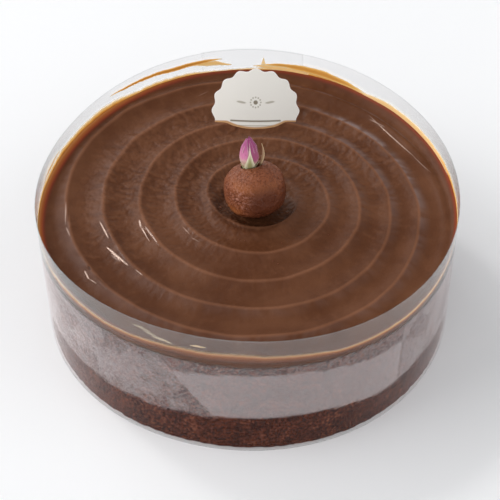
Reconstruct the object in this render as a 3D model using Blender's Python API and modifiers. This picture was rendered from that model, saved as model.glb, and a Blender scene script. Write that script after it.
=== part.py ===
"""A round date cake in a clear film collar, with its swirled sauce, date ball, rosebud and plain card.

Metres, +Z up. The origin is the centre of the flat underside, and -Y is the side that faces the viewer.
"""

import math

import bmesh
import bpy
import numpy as np
from mathutils import Matrix, Vector, geometry, noise

# ---- driving dimensions ----
CAKE_RADIUS = 0.100
GAP = 0.0003  # clearance between neighbouring pieces

# The soft strip isn't a true circle: (bulges round it, how far they swell, direction of the first).
OUTLINE_WAVES = (
    (2, 0.0014, math.radians(90)),
    (3, 0.0016, math.radians(-36)),
    (4, 0.0006, math.radians(22.5)),
)
WAVE_SHARE_AT_BASE = 0.4  # the base is rounder than the top
OUTLINE_SEGMENTS = 120

FILM_HEIGHT = 0.075
FILM_THICKNESS = 0.0003
FILM_START = math.radians(74)  # the strip's two ends overlap at the back
FILM_OVERLAP = math.radians(30)
FILM_JOG = math.radians(50)  # stretch over which the outer end climbs over the inner one
FILM_JOG_END = math.radians(4)  # the climb is done this far before the inner end
FILM_COLUMNS = 131

SPONGE_HEIGHT = 0.0567
SPONGE_EDGE = 0.0015  # chamfer at the foot
SPONGE_SIDE = (0.010, SPONGE_HEIGHT - 0.006)  # span of the crumbly side's inner rings
CRUMB_DEPTH = 0.0007
CRUMB_SIZE = 0.005

SAUCE_BOTTOM = SPONGE_HEIGHT + GAP
SAUCE_GROOVE_LEVEL = 0.0600
SAUCE_RIDGE = 0.0022
RIDGE_ROUNDING = 0.12
RIM_RISE = 0.0030  # the sauce climbs the film
RIM_WIDTH = 0.0025
RIM_INSETS = (0.0, 0.001, 0.0026)  # rings of points that follow the film
RIM_CLEARANCE = 0.004  # the swirl's rows stop this far from the film

# One spiral ridge, which winds outwards clockwise as seen from above.
SWIRL_START = 0.0243  # mean radius where the first full turn begins, at -X
SWIRL_PITCH = 0.0160
SWIRL_DRIFT_X = 0.0058  # the inner turns sit off centre, towards +X and +Y
SWIRL_DRIFT_X_END = 0.083
SWIRL_DRIFT_Y_RATE = 0.091
SWIRL_DRIFT_Y_END = 0.070
SWIRL_OVAL_RATE = 0.34  # ovalness per metre of radius
SWIRL_OVAL_ANGLE = math.radians(125)
SWIRL_FADE_IN = (0.015, 0.019)
SWIRL_FADE_OUT = (0.092, 0.097)
SWIRL_TURNS = (-0.4, 4.9)
ROW_SHARES = (-0.2, -0.07, 0.0, 0.07, 0.2, 0.5)  # rows of points beside each crest, as shares of the pitch
ROW_SPACING = 0.0056

BALL_CENTRE = Vector((0.0023, -0.0014, 0.0712))
BALL_RADIUS = 0.0142
BALL_HALF_HEIGHT = 0.0126
BALL_SQUARENESS = 2.5  # of its profile, where 2 is an ellipse
BALL_LUMP = 0.0003
BALL_LUMP_FREQUENCY = 2.5
BALL_TILT_BACK = math.radians(19)
BALL_TILT_LEFT = math.radians(8.6)
PIT_RADII = (0.015, 0.019)  # the sauce dips round the ball
PIT_DEPTH = 0.0012
PIT_RINGS = ((0.5, 10), (0.8, 24), (1.0, 30), (1.15, 32))  # (share of the ball's radius, points)
PIT_CLEARANCE = 1.25  # the swirl's rows stop here, as a share of the ball's radius
HOLE_FLOOR = 0.0092  # above the ball's centre, along its tilted axis
HOLE_TOOL_HEIGHT = 0.008
HOLE_HALF_WIDTH = 0.0059
HOLE_HALF_DEPTH = 0.0042
HOLE_NARROWING = 0.85  # share of the width at the hole's floor
HOLE_FLARE = 1.2  # and above its mouth

BUD_BASE = Vector((0.0000, 0.0022, 0.0812))
BUD_LEAN_BACK = math.radians(12)
BUD_HEIGHT = 0.0176
BUD_RADIUS = 0.0045
BUD_WIDEST = 0.36  # share of the height
BUD_FOOT_SHARE = 0.55  # the foot's radius against the widest
BUD_FULLNESS = 1.8  # power of the taper to the tip
BUD_TOP_RING = 0.965  # share of the height where the rings end and the tip begins
PETALS = 5
PETAL_STEP = 0.09  # depth of a petal's edge against the bud's radius
PETAL_WIND = 0.35  # petals' widths that each edge winds through up to the tip

SEPAL_THICKNESS = 0.0004
SEPAL_FLARE = 0.0004  # how far a tip at the bud's full height would stand off
SEPAL_POINT = 1.5  # power of a sepal's outline
CALYX_FOOT = 0.03
CUP_SHARE = 0.15
SEPAL_LENGTHS = (0.80, CUP_SHARE, 0.50, 0.46, 0.36)  # shares of the bud's height; the second one stands apart
SEPAL_HALF_ANGLE = math.radians(27)
FIRST_SEPAL = math.radians(-80)
CURL_WIDTH = 0.0015
CURL_TIP_SHARE = 0.2  # its narrowest against its widest
CURL_ROWS = 13
CURL_TURN = math.radians(-52)  # the way its flat side faces
CURL_HANDLES = (
    Vector((0.0051, 0.0028, 0.0822)),
    Vector((0.0058, 0.0032, 0.0880)),
    Vector((0.0074, 0.0038, 0.0880)),
    Vector((0.0058, 0.0044, 0.0948)),
)

CARD_CENTRE = Vector((0.0032, 0.0600, 0.0675))
CARD_RADIUS = 0.0222
CARD_LOBES = 16
CARD_LOBE_DEPTH = 0.0007
CARD_LEAN = math.radians(25)
CARD_ROLL = math.radians(0.4)
CARD_BEND_RADIUS = 0.0520
CARD_THICKNESS = 0.0004
CARD_FOOT = SAUCE_BOTTOM + 0.0004
CARD_SEGMENTS = 96
CARD_RINGS = 3


# ---- helpers ----
def clear_scene():
    for old in list(bpy.data.objects):
        bpy.data.objects.remove(old, do_unlink=True)


def new_collection(name):
    collection = bpy.data.collections.new(name)
    bpy.context.scene.collection.children.link(collection)
    return collection


def finish_material(name, colour, roughness, alpha=1.0):
    """A Principled material without any metal in it."""
    material = bpy.data.materials.new(name)
    material.use_nodes = True
    shader = material.node_tree.nodes["Principled BSDF"]
    shader.inputs["Base Color"].default_value = (*colour, 1.0)
    shader.inputs["Roughness"].default_value = roughness
    shader.inputs["Metallic"].default_value = 0.0
    shader.inputs["Alpha"].default_value = alpha
    return material


def add_object(name, mesh, collection, material=None, smooth=math.radians(40)):
    if material:
        mesh.materials.append(material)
    mesh.shade_smooth()
    mesh.set_sharp_from_angle(angle=smooth)
    obj = bpy.data.objects.new(name, mesh)
    collection.objects.link(obj)
    return obj


def mark_cutter(obj):
    obj.hide_render = True
    obj.display_type = "WIRE"


def mesh_from(name, points, faces):
    mesh = bpy.data.meshes.new(name)
    mesh.from_pydata([tuple(point) for point in points], [], [tuple(face) for face in faces])
    mesh.validate()
    return mesh


def smoothstep(low, high, value):
    share = np.clip((value - low) / (high - low), 0.0, 1.0)
    return share * share * (3.0 - 2.0 * share)


def grid_triangles(rows, columns, wrap):
    """Two triangles for each cell of a grid of points, whose columns may close into a ring."""
    faces = []
    for row in range(rows - 1):
        for column in range(columns if wrap else columns - 1):
            beside = (column + 1) % columns
            low_left, low_right = row * columns + column, row * columns + beside
            high_left, high_right = low_left + columns, low_right + columns
            faces += [(low_left, low_right, high_right), (low_left, high_right, high_left)]
    return faces


def thicken(obj, thickness, offset):
    solidify = obj.modifiers.new("thickness", "SOLIDIFY")
    solidify.thickness = thickness
    solidify.offset = offset
    solidify.use_even_offset = True


def cut(obj, cutter):
    boolean = obj.modifiers.new("cut", "BOOLEAN")
    boolean.operation = "DIFFERENCE"
    boolean.object = cutter


# ---- the outline that the sponge, the sauce and the film share ----
def outline_radius(angle, height):
    """The film's inner radius: the cake's circle with its slight bulges, which fade towards the base."""
    share = WAVE_SHARE_AT_BASE + (1.0 - WAVE_SHARE_AT_BASE) * height / FILM_HEIGHT
    swell = sum(depth * np.cos(count * (angle - first)) for count, depth, first in OUTLINE_WAVES)
    return CAKE_RADIUS + share * swell


def outline_ring(height, inset):
    """Points of the outline at one height, moved in by the inset."""
    angle = np.linspace(0.0, math.tau, OUTLINE_SEGMENTS, endpoint=False)
    radius = outline_radius(angle, height) - inset
    return np.stack([radius * np.cos(angle), radius * np.sin(angle), np.full_like(angle, height)], axis=1)


# ---- sponge ----
def make_sponge(collection):
    """A solid drum with a crumbly side, whose crumbs are dents of uneven depth."""
    levels = [0.0, SPONGE_EDGE, *np.linspace(*SPONGE_SIDE, 5), SPONGE_HEIGHT]
    points = []
    for height in levels:
        inset = GAP + (SPONGE_EDGE if height == 0.0 else 0.0)
        for point in outline_ring(height, inset):
            place = Vector(point)
            at_edge = height in (0.0, SPONGE_HEIGHT)
            dent = 0.0 if at_edge else CRUMB_DEPTH * abs(noise.noise(place / CRUMB_SIZE))
            points.append(place - Vector((place.x, place.y, 0.0)).normalized() * dent)
    faces = grid_triangles(len(levels), OUTLINE_SEGMENTS, wrap=True)
    top_start = (len(levels) - 1) * OUTLINE_SEGMENTS
    faces.append(range(OUTLINE_SEGMENTS - 1, -1, -1))
    faces.append(range(top_start, top_start + OUTLINE_SEGMENTS))
    mesh = mesh_from("cake_sponge", points, faces)
    crumb = finish_material("dark_crumb", (0.075, 0.028, 0.016), 0.85)
    return add_object("cake_sponge", mesh, collection, crumb)


# ---- swirled sauce ----
def swirl_shift(ring, angle):
    """How far the spiral's turn of mean radius ring lies beyond that radius, in the direction angle."""
    drift_x = SWIRL_DRIFT_X * np.clip(1.0 - (ring / SWIRL_DRIFT_X_END) ** 3, 0.0, None)
    drift_y = SWIRL_DRIFT_Y_RATE * np.clip(SWIRL_DRIFT_Y_END - ring, 0.0, None)
    oval = SWIRL_OVAL_RATE * ring**2 * np.cos(2.0 * (angle - SWIRL_OVAL_ANGLE))
    return drift_x * np.cos(angle) + drift_y * np.sin(angle) + oval


def swirl_turns(x, y):
    """(turns, ring): turns is a whole number on a crest, and ring is the mean radius of the turn there."""
    angle, radius = np.arctan2(y, x), np.hypot(x, y)
    ring = radius
    for _ in range(8):
        ring = np.clip(radius - swirl_shift(ring, angle), 0.0, None)
    return (ring - SWIRL_START) / SWIRL_PITCH - (math.pi - angle) / math.tau, ring


def sauce_height(x, y):
    """Wide round grooves that meet in narrow crests, a dip round the ball and a rim that climbs the film."""
    turns, ring = swirl_turns(x, y)
    sine = np.sin(math.pi * turns)
    crest = 1.0 - np.sqrt((sine**2 + RIDGE_ROUNDING**2) / (1.0 + RIDGE_ROUNDING**2))
    crest *= smoothstep(*SWIRL_FADE_IN, ring) * (1.0 - smoothstep(*SWIRL_FADE_OUT, ring))
    edge = outline_radius(np.arctan2(y, x), SAUCE_GROOVE_LEVEL) - GAP - np.hypot(x, y)
    rim = RIM_RISE * np.exp(-np.clip(edge, 0.0, None) / RIM_WIDTH)
    beside_ball = np.hypot(x - BALL_CENTRE.x, y - BALL_CENTRE.y)
    pit = PIT_DEPTH * (1.0 - smoothstep(*PIT_RADII, beside_ball))
    return SAUCE_GROOVE_LEVEL + SAUCE_RIDGE * crest + rim - pit


def swirl_rows():
    """Rows of points in the plan that follow the spiral's crests, flanks and grooves."""
    first, last = SWIRL_TURNS
    rows = []
    for share in ROW_SHARES:
        turns, step_turns = [], first
        while step_turns < last:
            turns.append(step_turns)
            step_turns += ROW_SPACING / (math.tau * (SWIRL_START + SWIRL_PITCH * (step_turns + share)))
        turns = np.array(turns)
        ring = SWIRL_START + SWIRL_PITCH * (turns + share)
        angle = np.arctan2(np.sin(math.pi - math.tau * turns), np.cos(math.pi - math.tau * turns))
        radius = ring + swirl_shift(ring, angle)
        rows.append(np.stack([radius * np.cos(angle), radius * np.sin(angle)], axis=1))
    return rows


def pit_rings():
    """Rings of points under the ball and round it."""
    rings = [np.array([[BALL_CENTRE.x, BALL_CENTRE.y]])]
    for share, count in PIT_RINGS:
        angle = np.linspace(0.0, math.tau, count, endpoint=False)
        ring = BALL_RADIUS * share * np.stack([np.cos(angle), np.sin(angle)], axis=1)
        rings.append(ring + [BALL_CENTRE.x, BALL_CENTRE.y])
    return np.concatenate(rings)


def sauce_plan():
    """(points, faces) of the sauce's top seen from above, with edges that run along the spiral's rows."""
    rims = [outline_ring(SAUCE_GROOVE_LEVEL, GAP + inset)[:, :2] for inset in RIM_INSETS]
    points = np.concatenate([*rims, pit_rings()])
    edges = []
    for row in swirl_rows():
        edge = outline_radius(np.arctan2(row[:, 1], row[:, 0]), SAUCE_GROOVE_LEVEL) - GAP - RIM_CLEARANCE
        beside_ball = np.hypot(row[:, 0] - BALL_CENTRE.x, row[:, 1] - BALL_CENTRE.y)
        kept = np.flatnonzero((np.hypot(*row.T) < edge) & (beside_ball > PIT_CLEARANCE * BALL_RADIUS))
        first = len(points) + np.arange(len(kept) - 1)[np.diff(kept) == 1]
        edges += [(int(start), int(start) + 1) for start in first]
        points = np.concatenate([points, row[kept]])
    points, _, faces, *_ = geometry.delaunay_2d_cdt([Vector(point) for point in points], edges, [], 0, 1e-6)
    return np.array([point[:] for point in points]), faces


def make_sauce(collection, cutters):
    """The swirl's plan, lifted to the swirl's height, given a side and cut for the ball and the card."""
    plan, faces = sauce_plan()
    x, y = plan.T
    sauce = bmesh.new()
    vertices = [sauce.verts.new(point) for point in zip(x, y, sauce_height(x, y))]
    for face in faces:
        sauce.faces.new([vertices[index] for index in face])
    edges = [edge for edge in sauce.edges if edge.is_boundary]
    walls = bmesh.ops.extrude_edge_only(sauce, edges=edges)["geom"]
    base = [vertex for vertex in walls if isinstance(vertex, bmesh.types.BMVert)]
    for vertex in base:
        direction = math.atan2(vertex.co.y, vertex.co.x)
        radius = outline_radius(direction, SAUCE_BOTTOM) - GAP
        vertex.co = (radius * math.cos(direction), radius * math.sin(direction), SAUCE_BOTTOM)
    bmesh.ops.contextual_create(sauce, geom=[edge for edge in sauce.edges if edge.is_boundary])
    bmesh.ops.recalc_face_normals(sauce, faces=sauce.faces)
    mesh = bpy.data.meshes.new("swirled_sauce")
    sauce.to_mesh(mesh)
    sauce.free()
    caramel = finish_material("date_sauce", (0.105, 0.031, 0.013), 0.28)
    obj = add_object("swirled_sauce", mesh, collection, caramel)
    for cutter in cutters:
        cut(obj, cutter)
    return obj


# ---- film collar ----
def make_film(collection):
    """A strip stood on edge: once round the cake, and then its outer end over its inner one."""
    turn = np.linspace(0.0, math.tau + FILM_OVERLAP, FILM_COLUMNS)
    angle = FILM_START + turn
    climb = (FILM_THICKNESS + GAP) * smoothstep(math.tau - FILM_JOG, math.tau - FILM_JOG_END, turn)
    points = []
    for height in (0.0, FILM_HEIGHT):
        radius = outline_radius(angle, height) + climb
        level = np.full_like(angle, height)
        points.append(np.stack([radius * np.cos(angle), radius * np.sin(angle), level], axis=1))
    mesh = mesh_from("film_collar", np.concatenate(points), grid_triangles(2, FILM_COLUMNS, wrap=False))
    film = finish_material("clear_film", (0.82, 0.83, 0.84), 0.08, alpha=0.25)
    obj = add_object("film_collar", mesh, collection, film)
    thicken(obj, FILM_THICKNESS, 1.0)
    return obj


# ---- date ball ----
def ball_frame():
    """The ball's own axes: its pole, where the hole is, tilts back and to the left."""
    turn = Matrix.Rotation(-BALL_TILT_BACK, 4, "X") @ Matrix.Rotation(-BALL_TILT_LEFT, 4, "Y")
    return Matrix.Translation(BALL_CENTRE) @ turn


def ball_mesh(name, growth):
    """A ball whose profile is a squarish ellipse, with low lumps."""
    form = bmesh.new()
    bmesh.ops.create_uvsphere(form, u_segments=36, v_segments=18, radius=1.0)
    for vertex in form.verts:
        direction = vertex.co.normalized()
        across = (direction.xy.length / BALL_RADIUS) ** BALL_SQUARENESS
        up = (abs(direction.z) / BALL_HALF_HEIGHT) ** BALL_SQUARENESS
        lump = BALL_LUMP * (noise.noise(direction * BALL_LUMP_FREQUENCY) - 0.5)
        vertex.co = direction * ((across + up) ** (-1.0 / BALL_SQUARENESS) + lump + growth)
    form.transform(ball_frame())
    mesh = bpy.data.meshes.new(name)
    form.to_mesh(mesh)
    form.free()
    return mesh


def make_ball(collection, cutters):
    """A rolled ball with a pressed oval hole in its top."""
    paste = finish_material("date_paste", (0.205, 0.072, 0.036), 0.62)
    ball = add_object("date_ball", ball_mesh("date_ball", 0.0), collection, paste)
    tool = bmesh.new()
    bmesh.ops.create_cone(
        tool,
        cap_ends=True,
        segments=28,
        radius1=HOLE_NARROWING,
        radius2=HOLE_FLARE,
        depth=HOLE_TOOL_HEIGHT,
        matrix=Matrix.Translation((0.0, 0.0, HOLE_FLOOR + HOLE_TOOL_HEIGHT / 2)),
    )
    tool.transform(ball_frame() @ Matrix.Diagonal((HOLE_HALF_WIDTH, HOLE_HALF_DEPTH, 1.0, 1.0)))
    mesh = bpy.data.meshes.new("hole_cutter")
    tool.to_mesh(mesh)
    tool.free()
    cutter = add_object("hole_cutter", mesh, cutters)
    mark_cutter(cutter)
    cut(ball, cutter)
    return ball


def make_seat_cutter(cutters):
    """The seat that the ball leaves in the sauce."""
    cutter = add_object("seat_cutter", ball_mesh("seat_cutter", GAP), cutters)
    mark_cutter(cutter)
    return cutter


# ---- rosebud ----
def bud_profile(share):
    """The bud's radius at a share of its height: a round belly that closes to a point."""
    below = BUD_FOOT_SHARE + (1.0 - BUD_FOOT_SHARE) * smoothstep(0.0, BUD_WIDEST, share)
    above = 1.0 - (np.clip(share - BUD_WIDEST, 0.0, None) / (1.0 - BUD_WIDEST)) ** BUD_FULLNESS
    return BUD_RADIUS * below * above


def bud_point(angle, share, lift):
    """A point on the bud, or lifted off it, where share runs from its base to its tip."""
    radius = bud_profile(share) + lift
    up = BUD_HEIGHT * share
    forward = radius * np.sin(angle)
    y = BUD_BASE.y + forward * math.cos(BUD_LEAN_BACK) + up * math.sin(BUD_LEAN_BACK)
    z = BUD_BASE.z + up * math.cos(BUD_LEAN_BACK) - forward * math.sin(BUD_LEAN_BACK)
    return np.stack([BUD_BASE.x + radius * np.cos(angle), y, z], axis=-1)


def make_petals(collection):
    """A closed bud, whose petals lap over each other in shallow steps that wind up to the tip."""
    segments, levels = 40, 14
    share = np.linspace(0.0, BUD_TOP_RING, levels)[:, None]
    angle = np.linspace(0.0, math.tau, segments, endpoint=False)[None, :]
    lap = (PETALS * angle / math.tau + PETAL_WIND * share) % 1.0
    step = PETAL_STEP * bud_profile(share) * (lap - 1.0)
    points = bud_point(angle, share + 0.0 * angle, step).reshape(-1, 3)
    tip, foot = len(points), len(points) + 1
    points = np.concatenate([points, [bud_point(0.0, 1.0, 0.0), BUD_BASE]])
    faces = grid_triangles(levels, segments, wrap=True)
    last_ring = (levels - 1) * segments
    for column in range(segments):
        beside = (column + 1) % segments
        faces += [(beside, column, foot), (last_ring + column, last_ring + beside, tip)]
    mesh = mesh_from("rosebud", points, faces)
    pink = finish_material("dried_petal", (0.42, 0.12, 0.25), 0.6)
    return add_object("rosebud", mesh, collection, pink)


def crown_height(angle):
    """The calyx's upper edge, as a share of the bud's height: a low cup that rises to its leaf tips."""
    height = np.full_like(angle, CUP_SHARE)
    for index, length in enumerate(SEPAL_LENGTHS):
        middle = FIRST_SEPAL + math.tau * index / len(SEPAL_LENGTHS)
        beside = np.abs((angle - middle + math.pi) % math.tau - math.pi) / SEPAL_HALF_ANGLE
        leaf = length - (length - CUP_SHARE) * np.clip(beside, 0.0, 1.0) ** SEPAL_POINT
        height = np.maximum(height, leaf)
    return height


def make_calyx(collection):
    """A thin green cup round the bud's foot, with one pointed leaf for each sepal."""
    segments, levels = 60, 6
    angle = FIRST_SEPAL + np.linspace(0.0, math.tau, segments, endpoint=False)[None, :]
    rise = np.linspace(0.0, 1.0, levels)[:, None]
    share = CALYX_FOOT + rise * (crown_height(angle) - CALYX_FOOT)
    lift = GAP + SEPAL_FLARE * share**2
    points = bud_point(angle + 0.0 * share, share, lift).reshape(-1, 3)
    mesh = mesh_from("rosebud_calyx", points, grid_triangles(levels, segments, wrap=True))
    green = finish_material("dried_sepal", (0.50, 0.44, 0.24), 0.7)
    obj = add_object("rosebud_calyx", mesh, collection, green)
    thicken(obj, SEPAL_THICKNESS, 1.0)
    return obj


def make_curled_sepal(collection):
    """One narrow leaf that stands apart from the bud: widest in the middle, and pointed at its end."""
    flat_side = Vector((math.cos(CURL_TURN), math.sin(CURL_TURN), 0.0))
    points = []
    for index, middle in enumerate(geometry.interpolate_bezier(*CURL_HANDLES, CURL_ROWS)):
        swell = math.sin(math.pi * (0.12 + 0.86 * index / (CURL_ROWS - 1)))
        half_width = 0.5 * CURL_WIDTH * (CURL_TIP_SHARE + (1.0 - CURL_TIP_SHARE) * swell)
        across = flat_side * half_width
        points += [middle - across, middle - Vector((0.2 * half_width, 0.0, 0.0)), middle + across]
    mesh = mesh_from("curled_sepal", points, grid_triangles(CURL_ROWS, 3, wrap=False))
    straw = finish_material("dried_curl", (0.47, 0.36, 0.19), 0.7)
    obj = add_object("curled_sepal", mesh, collection, straw)
    thicken(obj, SEPAL_THICKNESS, 0.0)
    return obj


# ---- card ----
def card_point(across, up):
    """Where a point of the flat card comes to lie once it is bent, leant back and rolled a little."""
    rolled_x = across * math.cos(CARD_ROLL) + up * math.sin(CARD_ROLL)
    rolled_up = up * math.cos(CARD_ROLL) - across * math.sin(CARD_ROLL)
    bend = rolled_x / CARD_BEND_RADIUS
    back = CARD_BEND_RADIUS * (1.0 - math.cos(bend))
    place = Vector((CARD_BEND_RADIUS * math.sin(bend), back, rolled_up))
    return Matrix.Rotation(-CARD_LEAN, 3, "X") @ place + CARD_CENTRE


def card_mesh(name, growth, foot):
    """A round card with a scalloped edge, whose lower part is cut off level at the foot's height."""
    points = [card_point(0.0, 0.0)]
    for ring in range(1, CARD_RINGS + 1):
        for angle in np.linspace(0.0, math.tau, CARD_SEGMENTS, endpoint=False):
            edge = CARD_RADIUS + CARD_LOBE_DEPTH * math.cos(CARD_LOBES * angle) + growth
            reach = edge * ring / CARD_RINGS
            points.append(card_point(reach * math.sin(angle), reach * math.cos(angle)))
    faces = [(0, 1 + (index + 1) % CARD_SEGMENTS, 1 + index) for index in range(CARD_SEGMENTS)]
    for low_left, low_right, high in grid_triangles(CARD_RINGS, CARD_SEGMENTS, wrap=True):
        faces.append((1 + low_left, 1 + low_right, 1 + high))
    card = bmesh.new()
    flat = mesh_from(name, points, faces)
    card.from_mesh(flat)
    bmesh.ops.recalc_face_normals(card, faces=card.faces)
    if foot is not None:
        geom = [*card.verts, *card.edges, *card.faces]
        bmesh.ops.bisect_plane(
            card, geom=geom, plane_co=(0.0, 0.0, foot), plane_no=(0.0, 0.0, 1.0), clear_inner=True
        )
        bmesh.ops.dissolve_degenerate(card, dist=0.0002, edges=card.edges)
        bmesh.ops.triangulate(card, faces=card.faces)
    card.to_mesh(flat)
    card.free()
    return flat


def make_card(collection):
    paper = finish_material("cream_card", (0.80, 0.78, 0.72), 0.55)
    obj = add_object("plain_card", card_mesh("plain_card", 0.0, CARD_FOOT), collection, paper)
    thicken(obj, CARD_THICKNESS, 0.0)
    return obj


def make_card_cutter(cutters):
    """The slot that the card leaves in the sauce."""
    cutter = add_object("slot_cutter", card_mesh("slot_cutter", GAP, None), cutters)
    thicken(cutter, CARD_THICKNESS + 2.0 * GAP, 0.0)
    mark_cutter(cutter)
    return cutter


def main():
    clear_scene()
    cake = new_collection("date_cake")
    cutters = new_collection("cutters")
    make_sponge(cake)
    make_sauce(cake, [make_card_cutter(cutters), make_seat_cutter(cutters)])
    make_film(cake)
    make_ball(cake, cutters)
    make_petals(cake)
    make_calyx(cake)
    make_curled_sepal(cake)
    make_card(cake)


main()
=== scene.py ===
"""The looks of a round date cake: sponge, swirled date sauce, film collar, date ball, rosebud and card.

Metres, +Z up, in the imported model's own frame: the origin is the centre of the flat underside, and -Y faces
the viewer. Sizes repeat the model's. Surfaces are formulas on numpy grids, and finishes are procedural.
"""

from __future__ import annotations

import logging
import math
from dataclasses import dataclass, field
from enum import Enum
from itertools import product
from typing import Any

import bpy
import numpy as np
from mathutils import Matrix, Vector

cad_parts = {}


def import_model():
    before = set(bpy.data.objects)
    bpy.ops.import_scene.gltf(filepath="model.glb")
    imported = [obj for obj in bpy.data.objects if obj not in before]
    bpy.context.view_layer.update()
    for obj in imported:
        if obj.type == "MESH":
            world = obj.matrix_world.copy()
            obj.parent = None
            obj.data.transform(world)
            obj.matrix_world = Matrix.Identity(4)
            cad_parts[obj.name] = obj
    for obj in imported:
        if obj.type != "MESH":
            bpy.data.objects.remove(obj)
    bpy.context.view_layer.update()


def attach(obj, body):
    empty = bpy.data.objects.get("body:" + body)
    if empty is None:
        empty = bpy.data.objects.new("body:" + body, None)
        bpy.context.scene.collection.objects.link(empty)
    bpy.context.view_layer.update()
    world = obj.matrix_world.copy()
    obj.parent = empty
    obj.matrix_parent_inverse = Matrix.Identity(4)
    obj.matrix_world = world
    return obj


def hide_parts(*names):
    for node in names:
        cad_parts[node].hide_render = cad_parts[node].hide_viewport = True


log = logging.getLogger("date_cake")
MM = 0.001
TAU = math.tau
Array = np.ndarray
Object = bpy.types.Object
Place = tuple[float, float, float]
Colour = tuple[float, float, float]
Stops = tuple[tuple[float, Colour], ...]


class Slot(Enum):
    """The record's material slots."""

    CRUMB = "dark_crumb"
    SAUCE = "date_sauce"
    FILM = "clear_film"
    PASTE = "date_paste"
    PETAL = "dried_petal"
    SEPAL = "dried_sepal"
    CURL = "dried_curl"
    CARD = "cream_card"


# ---- numbers
def held(value: Array) -> Array:
    """Values held between 0 and 1."""
    return np.clip(value, 0, 1)


def rise(low: float, high: float, value: Array) -> Array:
    """Rise from 0 at low to 1 at high with level ends."""
    share = held((value - low) / (high - low))
    return share * share * (3 - 2 * share)


def fall(low: float, high: float, value: Array) -> Array:
    """Fall from 1 at low to 0 at high with level ends."""
    return 1 - rise(low, high, value)


def bell(value: Array) -> Array:
    """E to the power of minus value squared: 1 at 0, and next to nothing beyond 2."""
    return np.exp(-(value**2))


def stacked(*parts: Array | float) -> Array:
    """Places or vectors from their three parts, on a new last axis."""
    return np.stack(np.broadcast_arrays(*parts), axis=-1)


def polar(radius: Array | float, angle: Array | float, height: Array | float) -> Array:
    """Places from a distance off the axis, a direction in radians, 0 along +X, and a height."""
    return stacked(radius * np.cos(angle), radius * np.sin(angle), height)


def turned(across: Array, up: Array, angle: float) -> tuple[Array, Array]:
    """Two coordinates turned by an angle that leads from the second one's axis to the first one's."""
    cos, sin = math.cos(angle), math.sin(angle)
    return across * cos + up * sin, up * cos - across * sin


def around(count: int, first: float = 0) -> Array:
    """Directions once round, as one row of count columns."""
    return np.linspace(first, first + TAU, count, endpoint=False)[None, :]


def there_and_back(row: Array, shared: int = 0) -> tuple[Array, Array]:
    """A row out and back, less its shared ends, and a mask: 1 on the way out and 0 on the way back."""
    back = row[::-1][shared : len(row) - shared]
    return np.concatenate([row, back]), np.repeat([1, 0], [len(row), len(back)])


def eased(spot: Array, stations: Array, values: Array) -> Array:
    """Read between stations: a smooth rise leads from each station's value to the next one's.

    Args:
        spot: Where to read.
        stations: Where the values hold, rising.
        values: One for each station.

    Returns:
        The value at each spot.
    """
    after = np.clip(np.searchsorted(stations, spot, side="right"), 1, len(stations) - 1)
    share = (spot - stations[after - 1]) / (stations[after] - stations[after - 1])
    return values[after - 1] + rise(0, 1, share) * (values[after] - values[after - 1])


class Lattice:
    """Seeded gradient noise: each corner of a cubic lattice has a random slope, and they are blended."""

    def __init__(self, seed: int) -> None:
        """Draw the slopes.

        Args:
            seed: Seed of the draw.
        """
        draw = np.random.default_rng(seed)
        slopes = draw.normal(size=(256, 3))
        self.slopes = slopes / np.linalg.norm(slopes, axis=1, keepdims=True)
        self.order = draw.permutation(256)

    def at(self, points: Array) -> Array:
        """The eight corner slopes times the offsets from their corners, weighted by a quintic fade.

        Args:
            points: Places, in lattice cells.

        Returns:
            One value of about -1 to 1 for each place.
        """
        cell = np.floor(points).astype(int)
        local = points - cell
        fade = local**3 * (local * (local * 6 - 15) + 10)
        total = np.zeros(points.shape[:-1])
        for corner in product((0, 1), repeat=3):
            index = np.zeros(total.shape, int)
            for axis, step in enumerate(corner):
                index = self.order[(index + cell[..., axis] + step) & 255]
            weight = np.prod(np.where(corner, fade, 1 - fade), axis=-1)
            total += weight * np.sum(self.slopes[index] * (local - corner), axis=-1)
        return 1.6 * total

    def layers(self, points: Array, count: int) -> Array:
        """Sum of noises, each twice as fine as the last and half as strong."""
        return sum(0.5**layer * self.at(points * 2**layer + 7.3 * layer) for layer in range(count))


# ---- meshes
def linked(name: str, data: bpy.types.ID) -> Object:
    """Put data into the scene.

    Args:
        name: The object's name.
        data: Its mesh, light or camera.

    Returns:
        The new object, at the origin.
    """
    obj = bpy.data.objects.new(name, data)
    bpy.context.scene.collection.objects.link(obj)
    return obj


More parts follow.
